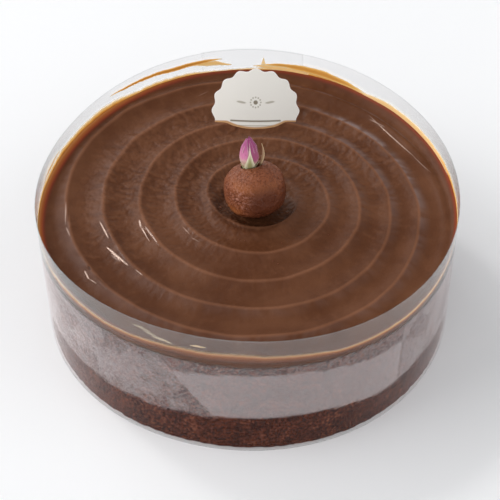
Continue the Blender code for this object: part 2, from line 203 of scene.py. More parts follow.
@dataclass
class Piece:
    """One mesh object, gathered from grids of points."""

    name: str
    points: list[Array] = field(default_factory=list)
    faces: list[list[int]] = field(default_factory=list)
    values: dict[str, list[Array]] = field(default_factory=dict)
    count: int = 0

    def grid(self, points: Array, endless: bool = False, **values: Array | float) -> Piece:
        """Add a closed skin of quads: each row of points is a ring, and each ring joins the next.

        Its volume is the sum of its corners' triple products; where that is negative, the skin is turned.

        Args:
            points: (rows, columns, 3) places.
            endless: Whether the last ring joins the first, as on a torus, or fans close them both.
            values: Numbers or vectors for each point, which finishes read as attributes.

        Returns:
            The piece itself.
        """
        rows, columns = points.shape[:2]
        skin = points.reshape(-1, 3)
        own = np.arange(rows * columns).reshape(rows, columns)
        if endless:
            own = np.concatenate([own, own[:1]])
        else:
            skin = np.concatenate([skin, points[[0, -1]].mean(axis=1)])
        beside = np.roll(own, -1, axis=1)
        sides = [np.stack([own[:-1], beside[:-1], beside[1:], own[1:]], axis=-1).reshape(-1, 4)]
        if not endless:
            pole = np.full_like(own[0], rows * columns)
            fans = (beside[0], own[0], pole), (own[-1], beside[-1], pole + 1)
            sides += [np.stack(fan, axis=-1) for fan in fans]
        volume = 0
        for side in sides:
            corner = (skin - skin.mean(axis=0))[side]
            for turn in range(1, side.shape[1] - 1):
                volume += np.sum(corner[:, 0] * np.cross(corner[:, turn], corner[:, turn + 1]))
        for side in sides:
            self.faces += (side[:, :: 1 if volume > 0 else -1] + self.count).tolist()
        for name, value in values.items():
            value = np.asarray(value, float)
            tail = value.shape[2:]
            value = np.broadcast_to(value, (rows, columns, *tail))
            ends = [] if endless else [value[[0, -1]].mean(axis=1)]
            self.values.setdefault(name, []).append(np.concatenate([value.reshape(-1, *tail), *ends]))
        self.points.append(skin)
        self.count += len(skin)
        return self

    def build(self, finish: Finish, slot: Slot, *replaced: str, sharp: float | None = None) -> Object:
        """Make the object, dress it and let it ride on the cake.

        Args:
            finish: What it is dressed in.
            slot: The record's slot it belongs to; not used.
            replaced: The solids that it stands for.
            sharp: Edges bent by more than this angle, in radians, stay sharp.

        Returns:
            The new object.
        """
        mesh = bpy.data.meshes.new(self.name)
        mesh.from_pydata(np.concatenate(self.points).tolist(), [], self.faces)
        mesh.validate()
        mesh.shade_smooth()
        if sharp is not None:
            mesh.set_sharp_from_angle(angle=sharp)
        for name, parts in self.values.items():
            whole = np.concatenate(parts)
            kind, key = ("FLOAT", "value") if whole.ndim == 1 else ("FLOAT_VECTOR", "vector")
            attribute = mesh.attributes.new(name, kind, "POINT")
            attribute.data.foreach_set(key, whole.astype(np.float32).ravel())
        mesh.materials.append(finish.material())
        obj = linked(self.name, mesh)
        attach(obj, "root")
        if replaced:
            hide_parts(*replaced)
        log.info("%s: %d points, %d faces", self.name, self.count, len(self.faces))
        return obj


# ---- shader maths
@dataclass(frozen=True)
class Signal:
    """An output socket that takes part in arithmetic: each operator adds one Math node to its bench."""

    bench: Bench
    socket: bpy.types.NodeSocket | None

    def _math(self, operation: str, *values: Any, clamp: bool = False) -> Signal:
        """One Math node on these values."""
        settings = {"operation": operation, "use_clamp": clamp}
        return self.bench.add("ShaderNodeMath", settings, dict(enumerate(values)))

    def __add__(self, other: Any) -> Signal:
        """Self plus other."""
        return self._math("ADD", self, other)

    def __sub__(self, other: Any) -> Signal:
        """Self minus other."""
        return self._math("SUBTRACT", self, other)

    def __rsub__(self, other: Any) -> Signal:
        """Other minus self."""
        return self._math("SUBTRACT", other, self)

    def __mul__(self, other: Any) -> Signal:
        """Self times other."""
        return self._math("MULTIPLY", self, other)

    def __truediv__(self, other: Any) -> Signal:
        """Self divided by other."""
        return self._math("DIVIDE", self, other)

    def __pow__(self, other: Any) -> Signal:
        """Self to the power of other."""
        return self._math("POWER", self, other)

    __radd__ = __add__
    __rmul__ = __mul__

    def clipped(self) -> Signal:
        """Self, held between 0 and 1."""
        return self._math("ADD", self, 0, clamp=True)

    def bell(self) -> Signal:
        """E to the power of minus self squared."""
        return self._math("EXPONENT", self * self * -1)

    def step(self, low: float, high: float) -> Signal:
        """A smooth rise from 0 at low to 1 at high."""
        sockets = {"Value": self, "From Min": low, "From Max": high}
        return self.bench.add("ShaderNodeMapRange", {"interpolation_type": "SMOOTHSTEP"}, sockets)


class Bench:
    """A node tree, with the one method that adds nodes to it."""

    def __init__(self, owner: bpy.types.Material | bpy.types.World) -> None:
        """Empty the owner's tree.

        Args:
            owner: The material or world.
        """
        owner.use_nodes = True
        self.tree = owner.node_tree
        self.tree.nodes.clear()

    def add(self, kind: str, settings: dict[str, Any], sockets: dict[Any, Any], out: int | str = 0) -> Signal:
        """Add one node.

        Args:
            kind: The node's type.
            settings: Its properties, set first; "stops" are a ramp's (place, colour) pairs.
            sockets: Its inputs by name or number: a Signal is linked, and anything else is the value.
            out: Which output to hand back.

        Returns:
            That output.
        """
        node = self.tree.nodes.new(kind)
        for key, value in settings.items():
            if key != "stops":
                setattr(node, key, value)
                continue
            ramp = node.color_ramp
            while len(ramp.elements) < len(value):
                ramp.elements.new(1)
            for element, (place, colour) in zip(ramp.elements, value):
                element.position = place
                element.color = (*colour, 1)
        for key, value in sockets.items():
            if isinstance(value, Signal):
                self.tree.links.new(value.socket, node.inputs[key])
            elif isinstance(value, tuple) and len(node.inputs[key].default_value) == 4:
                node.inputs[key].default_value = (*value, 1)
            else:
                node.inputs[key].default_value = value
        return Signal(self, node.outputs[out] if node.outputs else None)

    def __getitem__(self, name: str) -> Signal:
        """A mesh attribute as a number."""
        return self.add("ShaderNodeAttribute", {"attribute_name": name}, {}, "Fac")

    def vector(self, name: str) -> Signal:
        """A mesh attribute as a vector."""
        return self.add("ShaderNodeAttribute", {"attribute_name": name}, {}, "Vector")

    def place(self) -> Signal:
        """Object coordinates, which are the cake's own metres."""
        return self.add("ShaderNodeTexCoord", {}, {}, "Object")

    def noise(self, where: Signal, scale: float, detail: float = 3, roughness: float = 0.55) -> Signal:
        """Layered noise, about 0.3 to 0.7 round 0.5, with scale cells for each unit of where."""
        sockets = {"Vector": where, "Scale": scale, "Detail": detail, "Roughness": roughness}
        return self.add("ShaderNodeTexNoise", {}, sockets, "Fac")

    def cells(self, where: Signal, scale: float) -> Signal:
        """Distance to the nearest of scattered points: 0 at a point, and about 0.6 between points."""
        return self.add("ShaderNodeTexVoronoi", {}, {"Vector": where, "Scale": scale}, "Distance")

    def blend(self, colour: Any, *coats: tuple[Any, Any]) -> Signal:
        """Lay coats of colour over the first one, in order.

        Args:
            colour: The first colour.
            coats: Pairs of a share, 0 to 1, and the colour that covers so much of what lies below.

        Returns:
            The mixed colour.
        """
        for share, coat in coats:
            colour = self.add("ShaderNodeMix", {"data_type": "RGBA"}, {0: share, 6: colour, 7: coat}, 2)
        return colour

    def ramp(self, share: Signal, stops: Stops) -> Signal:
        """Colours along a share."""
        return self.add("ShaderNodeValToRGB", {"stops": stops}, {"Fac": share}, "Color")

    def bump(self, height: Signal, strength: float, distance: float) -> Signal:
        """A normal bent by a height, of which 1 is the distance in metres."""
        sockets = {"Height": height, "Strength": strength, "Distance": distance}
        return self.add("ShaderNodeBump", {}, sockets, "Normal")

    def shader(self, **sockets: Any) -> Signal:
        """A Principled shader, whose sockets are named with _ for a space."""
        named = {key.replace("_", " "): value for key, value in sockets.items()}
        return self.add("ShaderNodeBsdfPrincipled", {}, named)

    def show(self, surface: Signal, kind: str = "ShaderNodeOutputMaterial") -> None:
        """Link the last shader to the output."""
        self.add(kind, {}, {"Surface": surface})


class Finish:
    """A named look, made into one material when it is first used."""

    name: str

    def paint(self, bench: Bench) -> Signal:
        """Build the nodes and return the last shader."""
        raise NotImplementedError

    def material(self) -> bpy.types.Material:
        """The material, made once.

        Returns:
            The material.
        """
        made = bpy.data.materials.get(self.name)
        if made is None:
            made = bpy.data.materials.new(self.name)
            bench = Bench(made)
            bench.show(self.paint(bench))
        return made


# ---- finishes
@dataclass(frozen=True)
class SauceGloss(Finish):
    """Thick date sauce: dark brown, lighter in worn places, with painted highlight on the crests, and orange
    with a painted glow by the film.
    """

    name: str = "date_sauce_gloss"
    deep: Colour = (0.1, 0.033, 0.0125)
    worn: Colour = (0.152, 0.058, 0.026)
    # the lighter crest lines are painted highlight
    crest: Colour = (0.285, 0.12, 0.062)
    # the pale colour painted as a highlight along the spatula's raised lines
    painted_glint: Colour = (0.6, 0.43, 0.35)
    # dark brown of the chatter's darker dashes, also used as painted shade round the ball and in the
    # spatula's dents
    scratch_and_shade: Colour = (0.045, 0.014, 0.006)
    # painted sheen: the grey of a reflection on the slopes just outside the crests
    bloom: Colour = (0.245, 0.17, 0.155)
    nick_rise: float = 0.26
    rim: Stops = (  # by how near the film is; the orange of the thin sauce, brightened as painted glow
        (0, (0.108, 0.036, 0.015)), (0.13, (0.132, 0.038, 0.015)), (0.24, (0.22, 0.042, 0.018)),
        (0.36, (0.33, 0.072, 0.022)), (0.55, (0.42, 0.118, 0.028)), (0.82, (0.56, 0.23, 0.07)),
    )

    def paint(self, bench: Bench) -> Signal:
        """Colour by the crest and edge attributes, with painted highlights on the crests and the spatula's
        lines, a painted sheen outside the crests and painted shade round the ball and in dents, and with the
        spatula's chatter in the grooves as bump.

        Args:
            bench: Where its nodes go.

        Returns:
            The last shader.
        """
        place, edge = bench.place(), bench["edge"]
        strokes = bench.noise(bench.vector("chatter"), 1, 0)
        dimples = bench.noise(place, 300, 1)
        chatter = (strokes * 0.6 + dimples * 0.85 - 0.72) * bench["rough"] + 0.5
        cloud = bench.noise(place, 42, 2)
        lip = bench["nick_across"].bell() * bench["nick_share"]
        line = lip.step(0.15, 0.8)
        colour = bench.blend(
            self.deep,
            (cloud.step(0.3, 0.76), self.worn),
            # painted shade in the hollow round the ball
            (bench["pit"] * 0.6, self.scratch_and_shade),
            (chatter.step(0.5, 0.66) * 0.7, self.worn),
            (chatter.step(0.5, 0.36) * 0.2, self.scratch_and_shade),
            # painted sheen just outside the crests, strongest towards the back right
            ((bench["bloom"] * (0.6 + 0.7 * cloud)).clipped(), self.bloom),
            # painted highlight along the crests
            (bench["crest"].step(0.7, 1) * (0.2 + cloud), self.crest),
            # orange rim by the film, brightened by painted glow where the light comes through
            (edge.step(0.02, 0.25), bench.ramp(edge, self.rim)),
            # painted highlight along the spatula's raised lines, which are also more metallic
            (line * 0.92, self.painted_glint),
            # painted shade in the spatula's dents
            ((lip * -1).step(0.1, 0.8) * 0.75, self.scratch_and_shade),
        )
        height = chatter + bench.noise(place, 900, 2) * 0.08 + lip * self.nick_rise
        return bench.shader(
            Base_Color=colour,
            Roughness=0.4 + 0.06 * cloud - 0.2 * line + 0.25 * edge,
            Metallic=line * 0.38,
            Specular_IOR_Level=0.14,
            Normal=bench.bump(height, 0.7, 0.0012),
            Coat_Weight=bench["gleam"],
            Coat_Roughness=0.1,
        )


@dataclass(frozen=True)
class ThinSauce(Finish):
    """Sauce spread thin on the film: cream and clear at its edge, then yellow, orange and brown."""

    name: str = "thin_sauce"
    # painted backlight: the colours of the thin sauce with light coming through the film
    painted_backlit: Stops = (
        (0, (1, 0.92, 0.7)), (0.15, (0.98, 0.74, 0.37)), (0.27, (0.93, 0.54, 0.14)),
        (0.4, (0.68, 0.26, 0.045)), (0.56, (0.36, 0.09, 0.022)), (0.75, (0.19, 0.045, 0.015)),
        (1, (0.115, 0.034, 0.013)),
    )
    # the painted unlit copy, where the dark cake lies behind
    unlit: Stops = (
        (0, (0.56, 0.43, 0.29)), (0.18, (0.5, 0.285, 0.15)), (0.38, (0.28, 0.098, 0.037)),
        (0.65, (0.17, 0.06, 0.028)), (1, (0.105, 0.042, 0.025)),
    )

    def paint(self, bench: Bench) -> Signal:
        """Colour and cover by the smear's thickness: painted backlit colours and a painted glow where light
        comes through the film, and darker unlit colours where the dark cake lies right behind it.

        Args:
            bench: Where its nodes go.

        Returns:
            The last shader.
        """
        body, lit = bench["body"], bench["lit"]
        painted_backlit = bench.ramp(body, self.painted_backlit)
        return bench.shader(
            Base_Color=bench.blend(bench.ramp(body, self.unlit), (lit, painted_backlit)),
            Roughness=0.25,
            Specular_IOR_Level=0.25,
            Alpha=(body * 4.5).clipped(),
            # painted glow where light comes through the film
            Emission_Color=bench.blend((0, 0, 0), (lit, painted_backlit)),
            Emission_Strength=0.18,
        )


@dataclass(frozen=True)
class FilmClear(Finish):
    """Clear acetate: a thin mirror that lets most light through, misted where it stands off the crumb."""

    name: str = "clear_acetate"
    haze: Colour = (0.99, 0.895, 0.89)
    gloss: Colour = (0.9, 0.985, 1)
    clear: Colour = (0.99, 0.99, 0.99)
    mirror: float = 0.05
    mist: float = 0.094
    slant: float = 1.9
    rim: float = 0.07

    def paint(self, bench: Bench) -> Signal:
        """Mix see-through and shiny film: the mirror rises with the fifth power towards grazing angles.

        Args:
            bench: Where its nodes go.

        Returns:
            The last shader.
        """
        cloud = bench.noise(bench.place(), 60, 3)
        loose = bench["mist"]
        touch = bench.noise(bench.place(), 700, 2, 0.6).step(0.48, 0.56)
        grazing = bench.add("ShaderNodeLayerWeight", {}, {"Blend": 0.5}, "Facing")
        deep = 1 + grazing * grazing * self.slant
        mist = loose * self.mist * deep * (0.85 + 0.3 * cloud) * (1 - touch * (1.1 - loose) * 1.5)
        mirror = bench["bare"] * self.mirror * deep + grazing**5 * 0.75
        factor = (mirror + mist + bench["edge"] * self.rim).clipped()
        clear = bench.add("ShaderNodeBsdfTransparent", {}, {"Color": self.clear})
        misted = (mist / (factor + 0.001)).clipped()
        tint = bench.blend(self.haze, (bench["above"], self.gloss))
        film = bench.shader(Base_Color=tint, Roughness=0.12, Metallic=1 - misted * 0.8)
        return bench.add("ShaderNodeMixShader", {}, {0: factor, 1: clear, 2: film})


@dataclass(frozen=True)
class CrumbMatte(Finish):
    """Moist dark sponge: reddish brown with paler crumbs, and holes darkened by painted shade."""

    name: str = "dark_sponge"
    # the darkest crumb colour, also laid in the holes as painted shade
    dark: Colour = (0.024, 0.008, 0.006)
    mid: Colour = (0.09, 0.022, 0.01)
    pale: Colour = (0.23, 0.082, 0.045)

    def paint(self, bench: Bench) -> Signal:
        """Colour by fine noise and by scattered holes, with a grainy bump.

        Args:
            bench: Where its nodes go.

        Returns:
            The last shader.
        """
        place = bench.place()
        grain = bench.noise(place, 850, 2.5, 0.65)
        hole = bench.cells(place, 480)
        mixed = grain * 0.8 + bench.noise(place, 110, 2) * 0.2
        colour = bench.blend(
            self.dark,
            (mixed.step(0.41, 0.54), self.mid),
            (mixed.step(0.54, 0.64) * 0.9, self.pale),
            # painted shade in the holes
            ((1 - hole.step(0.14, 0.34)) * 0.85, self.dark),
        )
        normal = bench.bump(grain + hole * 0.6, 0.9, 0.0006)
        return bench.shader(Base_Color=colour, Roughness=0.85, Specular_IOR_Level=0.04, Normal=normal)


@dataclass(frozen=True)
class PasteMatte(Finish):
    """Rolled date paste: reddish brown, speckled, with a satin sheen over its fine crumbly grain."""

    name: str = "rolled_date_paste"
    # the colour of painted shade: low down, at the right, in front below the hole and in the hole
    dark: Colour = (0.1, 0.026, 0.011)
    grain: Colour = (0.15, 0.042, 0.019)
    mid: Colour = (0.245, 0.077, 0.033)
    # pale: pinkish flecks, painted highlight on the upper left
    pale: Colour = (0.43, 0.2, 0.15)
    warm: Colour = (0.4, 0.128, 0.036)

    def paint(self, bench: Bench) -> Signal:
        """Mottle by noise: orange-brown round the hole, pinkish flecks in front that are brighter on the
        upper left as painted highlight, and painted shade at the right, below and in the hole.

        Args:
            bench: Where its nodes go.

        Returns:
            The last shader.
        """
        place = bench.place()
        patch = bench.noise(place, 240, 2)
        speck = bench.noise(place, 1000, 2.5, 0.65)
        lump = bench.noise(place, 420, 2, 0.5)
        fleck = (lump * 0.25 + speck * 0.75).step(0.51, 0.6)
        colour = bench.blend(
            self.grain,
            ((patch * 0.3 + speck * 0.7).step(0.4, 0.52), self.mid),
            (bench["warm"] * (0.3 + lump), self.warm),
            # faint pale flecks all over, brighter on the upper left as painted highlight
            (fleck * (bench["pale"] * 0.8 + 0.06), self.pale),
            # painted shade low down, at the right and in front under the hole
            (bench["low"].step(0.2, 0.95) * 0.9, self.dark),
            # painted shade inside the hole
            (bench["hole"] * 0.6, self.dark),
        )
        normal = bench.bump(speck * 0.5 + lump * 0.5, 0.9, 0.0011)
        rough = 0.44 - 0.2 * speck
        return bench.shader(Base_Color=colour, Roughness=rough, Specular_IOR_Level=0.17, Normal=normal)


@dataclass(frozen=True)
class PetalSilk(Finish):
    """Dried rose petals: cream at the foot and the edges, pink above, purple at the tip, finely veined."""

    name: str = "dried_rose_petal"
    foot: Colour = (0.72, 0.58, 0.39)
    pink: Colour = (0.67, 0.205, 0.385)
    dark: Colour = (0.4, 0.07, 0.18)
    tip: Colour = (0.33, 0.032, 0.17)
    edge: Colour = (0.74, 0.58, 0.55)

    def paint(self, bench: Bench) -> Signal:
        """Colour by how far up a point is, how dark its petal is and how near the petal's edge it lies.

        Args:
            bench: Where its nodes go.

        Returns:
            The last shader.
        """
        shade = bench["shade"]
        vein = bench.noise(bench.vector("vein"), 1, 3)
        level = bench["up"] + (vein - 0.5) * 0.16
        pink = bench.blend(
            self.pink,
            ((shade + (vein - 0.5) * 0.7).clipped(), self.dark),
            (level.step(0.42, 0.84) * 0.95, self.tip),
        )
        colour = bench.blend(
            self.foot,
            (level.step(0.12, 0.4) * (0.55 + 0.45 * shade).clipped(), pink),
            (level.step(0.34, 0.46), pink),
            ((bench["side"] + (vein - 0.5) * 0.25).step(0.82, 1) * 0.55, self.edge),
        )
        normal = bench.bump(vein, 0.6, 0.0003)
        return bench.shader(Base_Color=colour, Roughness=0.5, Sheen_Weight=0.25, Normal=normal)


@dataclass(frozen=True)
class SepalDry(Finish):
    """Dried sepals: cream edges and tip round a green-grey middle."""

    name: str = "dried_sepal_green"
    edge: Colour = (0.8, 0.75, 0.53)
    middle: Colour = (0.38, 0.37, 0.165)
    tip: Colour = (0.78, 0.68, 0.52)

    def paint(self, bench: Bench) -> Signal:
        """Colour by the distance from the leaf's middle line and by the height.

        Args:
            bench: Where its nodes go.

        Returns:
            The last shader.
        """
        vein = bench.noise(bench.vector("vein"), 1, 3)
        colour = bench.blend(
            self.middle,
            ((bench["side"] + (vein - 0.5) * 0.6).step(0.2, 0.85), self.edge),
            ((bench["up"] + (vein - 0.5) * 0.2).step(0.34, 0.62), self.tip),
        )
        return bench.shader(Base_Color=colour, Roughness=0.65, Normal=bench.bump(vein, 0.6, 0.0003))


@dataclass(frozen=True)
class CardStock(Finish):
    """Smooth cream card with a pale cut edge and a small plain printed ornament."""

    name: str = "smooth_cream_card"
    face: Colour = (0.93, 0.905, 0.835)
    cut_edge: Colour = (1, 0.96, 0.9)
    ink: Colour = (0.19, 0.15, 0.085)
    pale_ink: Colour = (0.43, 0.385, 0.3)
    stain: Colour = (0.58, 0.27, 0.065)

    def paint(self, bench: Bench) -> Signal:
        """Face, then the pale rim, the print in two inks and the sauce's stain at the foot.

        Args:
            bench: Where its nodes go.

        Returns:
            The last shader.
        """
        fibre = bench.noise(bench.place(), 1500, 2)
        colour = bench.blend(
            self.face,
            (bench["rim"], self.cut_edge),
            (bench["pale_print"] * 0.85, self.pale_ink),
            (bench["dark_print"] * 0.9, self.ink),
            (bench["stain"].step(0, 0.8) * 0.9, self.stain),
        )
        return bench.shader(Base_Color=colour, Roughness=0.45, Normal=bench.bump(fibre, 0.15, 0.0002))


# ---- the cake's shared outline, and the sponge
@dataclass(frozen=True)
class Outline:
    """The ring that sponge, sauce and film share: a circle with bulges that fade towards the base."""

    radius: float = 0.1
    gap: float = 0.0003
    film_height: float = 0.075
    share_at_base: float = 0.4
    waves: tuple[tuple[int, float, float], ...] = (  # count, depth, direction of the first crest
        (2, 0.0014, math.radians(90)),
        (3, 0.0016, math.radians(-36)),
        (4, 0.0006, math.radians(22.5)),
    )

    def at(self, angle: Array | float, height: Array | float) -> Array:
        """The film's inner radius: the circle's, plus each wave's cosine times a share that grows upwards.

        Args:
            angle: Directions.
            height: Heights.

        Returns:
            The radius at each.
        """
        share = self.share_at_base + (1 - self.share_at_base) * height / self.film_height
        ripple = sum(wave * np.cos(count * (angle - way)) for count, wave, way in self.waves)
        return self.radius + share * ripple

    def within(self, angle: Array | float, height: Array | float) -> Array:
        """The cake's own radius, a small gap inside the film."""
        return self.at(angle, height) - self.gap


@dataclass(frozen=True)
class Sponge:
    """The dark sponge drum with its torn, crumbly side."""

    outline: Outline
    height: float = 0.0567
    chamfer: float = 0.0015
    crumb_depth: float = 0.0008
    crumb_size: float = 0.0046
    columns: int = 620
    levels: int = 62
    seed: int = 11

    def build(self) -> Object:
        """Side rings from the foot up; each point sinks in by the crumb's depth times a ridged noise.

        Returns:
            The new object.
        """
        height = np.concatenate([[0], np.linspace(self.chamfer, self.height, self.levels)])[:, None]
        angle = around(self.columns)
        radius = self.outline.within(angle, height) - np.where(height == 0, self.chamfer, 0)
        crumb = np.abs(Lattice(self.seed).layers(polar(radius, angle, height) / self.crumb_size, 2))
        inside = rise(0, 0.0012, height) * rise(0, 0.0006, self.height - height)
        piece = Piece("sponge_drum").grid(polar(radius - self.crumb_depth * crumb * inside, angle, height))
        return piece.build(CrumbMatte(), Slot.CRUMB, "cake_sponge", sharp=math.radians(60))


# ---- sauce
@dataclass(frozen=True)
class Swirl:
    """One spiral ridge that winds outwards clockwise as seen from above."""

    start: float = 0.0243
    pitch: float = 0.016
    drift_x: float = 0.0058
    drift_x_end: float = 0.083
    drift_y_rate: float = 0.091
    drift_y_end: float = 0.07
    oval_rate: float = 0.34
    oval_angle: float = math.radians(125)
    rounding: float = 0.12
    fade_in: tuple[float, float] = (0.015, 0.019)
    fade_out: tuple[float, float] = (0.092, 0.097)

    def shift(self, ring: Array, angle: Array) -> Array:
        """How far a turn lies beyond its mean radius: two drifts that fade outwards, and an oval.

        Args:
            ring: The turn's mean radius.
            angle: Directions.

        Returns:
            The shift at each.
        """
        across = self.drift_x * np.clip(1 - (ring / self.drift_x_end) ** 3, 0, None)
        back = self.drift_y_rate * np.clip(self.drift_y_end - ring, 0, None)
        oval = self.oval_rate * ring**2 * np.cos(2 * (angle - self.oval_angle))
        return across * np.cos(angle) + back * np.sin(angle) + oval

    def turns(self, radius: Array, angle: Array) -> tuple[Array, Array]:
        """Which turn of the spiral passes a place.

        Args:
            radius: Distance from the axis.
            angle: Direction, -pi to pi.

        Returns:
            (turns, ring): turns is a whole number on a crest, and ring is the turn's mean radius there.
        """
        ring = radius
        for _ in range(8):
            ring = np.clip(radius - self.shift(ring, angle), 0, None)
        return (ring - self.start) / self.pitch - (math.pi - angle) / TAU, ring

    def fade(self, ring: Array) -> Array:
        """1 on the swirl, faded at its start and its end."""
        return rise(*self.fade_in, ring) * fall(*self.fade_out, ring)

    def outer_slope(self, turns: Array, ring: Array) -> Array:
        """1 just outside each crest, falling to 0 in the next third of a turn's width."""
        past = turns - np.floor(turns)
        return rise(-0.02, 0.05, past) * fall(0, 0.42, past) * self.fade(ring)

    def crest(self, turns: Array, ring: Array) -> Array:
        """Wide round grooves that meet in narrow crests: 1 minus a rounded sine."""
        rounded = np.sqrt((np.sin(math.pi * turns) ** 2 + self.rounding**2) / (1 + self.rounding**2))
        return (1 - rounded) * self.fade(ring)


@dataclass(frozen=True)
class SpatulaMark:
    """A fine raised line that the spatula left, with a painted highlight along it, or a dent with painted
    shade in it.
    """

    from_x: float  # millimetres
    from_y: float
    to_x: float
    to_y: float
    width: float
    painted_glint: float  # 1 is the brightest painted highlight, and a dent with painted shade has less than 0

    def add_to(self, across: Array, share: Array, x: Array, y: Array) -> None:
        """Write the mark into two sheets round its own line, where it is the stronger one.

        One complex division gives its own frame: along it in half lengths, and beside it in widths.

        Args:
            across: Sheet of distances from the nearest line, in its widths.
            share: Sheet of strengths, which fade out at the line's ends and well beside it.
            x: Places.
            y: Places.
        """
        start, end = complex(self.from_x, self.from_y) * MM, complex(self.to_x, self.to_y) * MM
        half = 0.5 * (end - start)
        local = (x + 1j * y - start - half) / half
        beside = local.imag * abs(half) / (self.width * MM)
        strength = self.painted_glint * held(1 - local.real**2) ** 0.6 * fall(2.2, 3.2, np.abs(beside))
        here = np.abs(strength) * bell(beside) > np.abs(share) * bell(across)
        across[here], share[here] = beside[here], strength[here]


@dataclass(frozen=True)
class TideLine:
    """How high the sauce's thin edge reaches up the film, direction by direction."""

    heights: tuple[tuple[float, float], ...] = (  # degrees and millimetres
        (-172, 65.4), (-150, 66.4), (-126, 64.4), (-104, 66.4), (-92, 67), (-78, 65.6), (-65, 63),
        (-50, 63.6), (-20, 65.8), (15, 67), (42, 66.9), (53, 65.2), (64, 66.4), (78, 66.2), (88, 64),
        (97, 63.4), (112, 65.2), (124, 65.8), (140, 68.4), (158, 68), (172, 66.3), (188, 65.4),
    )

    def at(self, angle: Array) -> Array:
        """The height of the thin edge in these directions."""
        ways, tops = np.array(self.heights, float).T
        return eased((np.degrees(angle) - ways[0]) % 360 + ways[0], ways, tops * MM)


@dataclass(frozen=True)
class Sauce:
    """The sauce layer: a swirled top, a rim that climbs the film and a side seen through it."""

    outline: Outline
    bottom: float = 0.057
    groove_level: float = 0.06
    ridge: float = 0.0022
    rim_rise: float = 0.003
    rim_width: float = 0.0021
    mean_tide: float = 0.065
    tide_share: float = 0.3
    ball_place: tuple[float, float] = (0.0023, -0.0014)
    pit_radii: tuple[float, float] = (0.015, 0.019)
    pit_depth: float = 0.0012
    collar_radius: float = 0.0205
    collar_width: float = 0.0022
    collar_rise: float = 0.0005
    columns: int = 520
    ring_step: float = 0.00054
    inner_ring: float = 0.005
    rim_insets: tuple[float, ...] = (0, 0.12, 0.26, 0.42, 0.62, 0.86, 1.14, 1.46, 1.84, 2.3)  # millimetres
    seed: int = 23
    side_shares: tuple[float, ...] = (0, 0.3, 0.55, 0.75, 0.88, 0.96)
    tide: TideLine = TideLine()
    swirl: Swirl = Swirl()
    marks: tuple[tuple[float, ...], ...] = (  # as in SpatulaMark
        (-87.5, 1.7, -86.1, -16.2, 0.55, 0.55), (-86.2, -15.5, -83, -23.6, 0.55, 0.5),
        (-70.7, -11.8, -65, -24.9, 0.45, 0.85), (-66.5, -28.4, -54.7, -42.2, 0.5, 1.1),
        (-64.2, -33.4, -58.4, -39.4, 0.9, 0.4), (-52.1, -44, -47.7, -48.6, 0.4, 0.6),
        (-51.9, -11.1, -50.6, -16.9, 0.5, 0.95), (-50.9, -15.9, -45.7, -26.4, 0.42, 0.9),
        (-49.2, -15.7, -42.3, -27.8, 0.42, 0.85), (-75, -44, -72.3, -50.1, 0.42, 0.9),
        (-72.6, -49.3, -68.2, -53.2, 0.38, 0.6), (-31.7, -15.5, -27.1, -22.3, 0.45, 0.45),
        (-27.5, -22.9, -22.3, -26.8, 0.45, 0.4), (-49.4, -18.6, -44.8, -25.9, 0.6, -0.7),
        (-73.5, -41.7, -71.9, -45, 0.6, -0.8), (-86.1, -1.1, -85, -14.9, 0.6, -0.5),
        (-71.2, -46.3, -63.3, -55.7, 0.6, -0.5), (59.9, 67.8, 83.7, 31.6, 0.42, 0.62),
        (79.8, 37.5, 89.8, 20.3, 0.42, 0.4), (60.5, 63.8, 69.4, 56.2, 0.42, 0.5),
        (-66, -20.9, -63.3, -26.6, 0.5, -0.6), (-28, 82, -20, 87.5, 0.6, 0.32),
    )

    def contact(self, angle: Array) -> Array:
        """How high the thick sauce stands on the film: an even rise and a share of the tide's waves."""
        return self.rim_rise + self.tide_share * (self.tide.at(angle) - self.mean_tide)

    def level(self, x: Array, y: Array) -> Array:
        """The height of the swirl's plain form at places well inside the film."""
        turns, ring = self.swirl.turns(np.hypot(x, y), np.arctan2(y, x))
        return self.groove_level + self.ridge * self.swirl.crest(turns, ring)

    def build(self) -> Object:
        """Rings from the foot of the side up to the film, then inwards over the swirl to the middle.

        The top is the groove level, plus the ridge times the crest, plus the rim's rise that dies away
        exponentially from the film, minus the dip round the ball, plus soft ripples. The spatula's chatter is
        spread by the logarithm of the radius, so that its strokes lie radially and widen outwards.

        Returns:
            The new object.
        """
        noise = Lattice(self.seed)
        angle = around(self.columns, -math.pi)
        near = np.array(self.rim_insets) * MM
        far = np.arange(near[-1] + self.ring_step, self.outline.radius - self.inner_ring, self.ring_step)
        inset = np.concatenate([near, far])[:, None]
        edge = self.outline.within(angle, self.groove_level)
        radius = edge - inset * (edge - MM) / (self.outline.radius - MM)
        place = polar(radius, angle, 0)
        x, y = place[..., 0], place[..., 1]
        turns, ring = self.swirl.turns(radius, angle)
        turns = turns + 0.035 * noise.layers(place / 0.022, 2)
        crest = self.swirl.crest(turns, ring)
        strength = 0.86 + 0.3 * noise.at(place / 0.03 + 3.1)
        rim = self.contact(angle) * np.exp(-inset / self.rim_width)
        beside_ball = np.hypot(x - self.ball_place[0], y - self.ball_place[1])
        pit = self.pit_depth * fall(*self.pit_radii, beside_ball)
        collar = self.collar_rise * bell((beside_ball - self.collar_radius) / self.collar_width)
        sway = angle + 0.06 * noise.at(place / 0.012 + 5.2)
        chatter = polar(8.5 * np.log(np.maximum(radius, 0.009) / 0.005), sway, 0)
        rough = rise(-0.045, 0.035, y - 0.35 * x) * fall(0.07, 0.088, radius)
        rough = 0.3 + 0.75 * rough
        ripple = 0.00009 * noise.at(place / 0.009) + 0.0001 * rough * noise.at(chatter)
        top = self.groove_level + self.ridge * crest * strength + rim - pit + collar + ripple
        nick_across, nick_share = np.full_like(x, 9), np.zeros_like(x)
        for mark in self.marks:
            SpatulaMark(*mark).add_to(nick_across, nick_share, x, y)
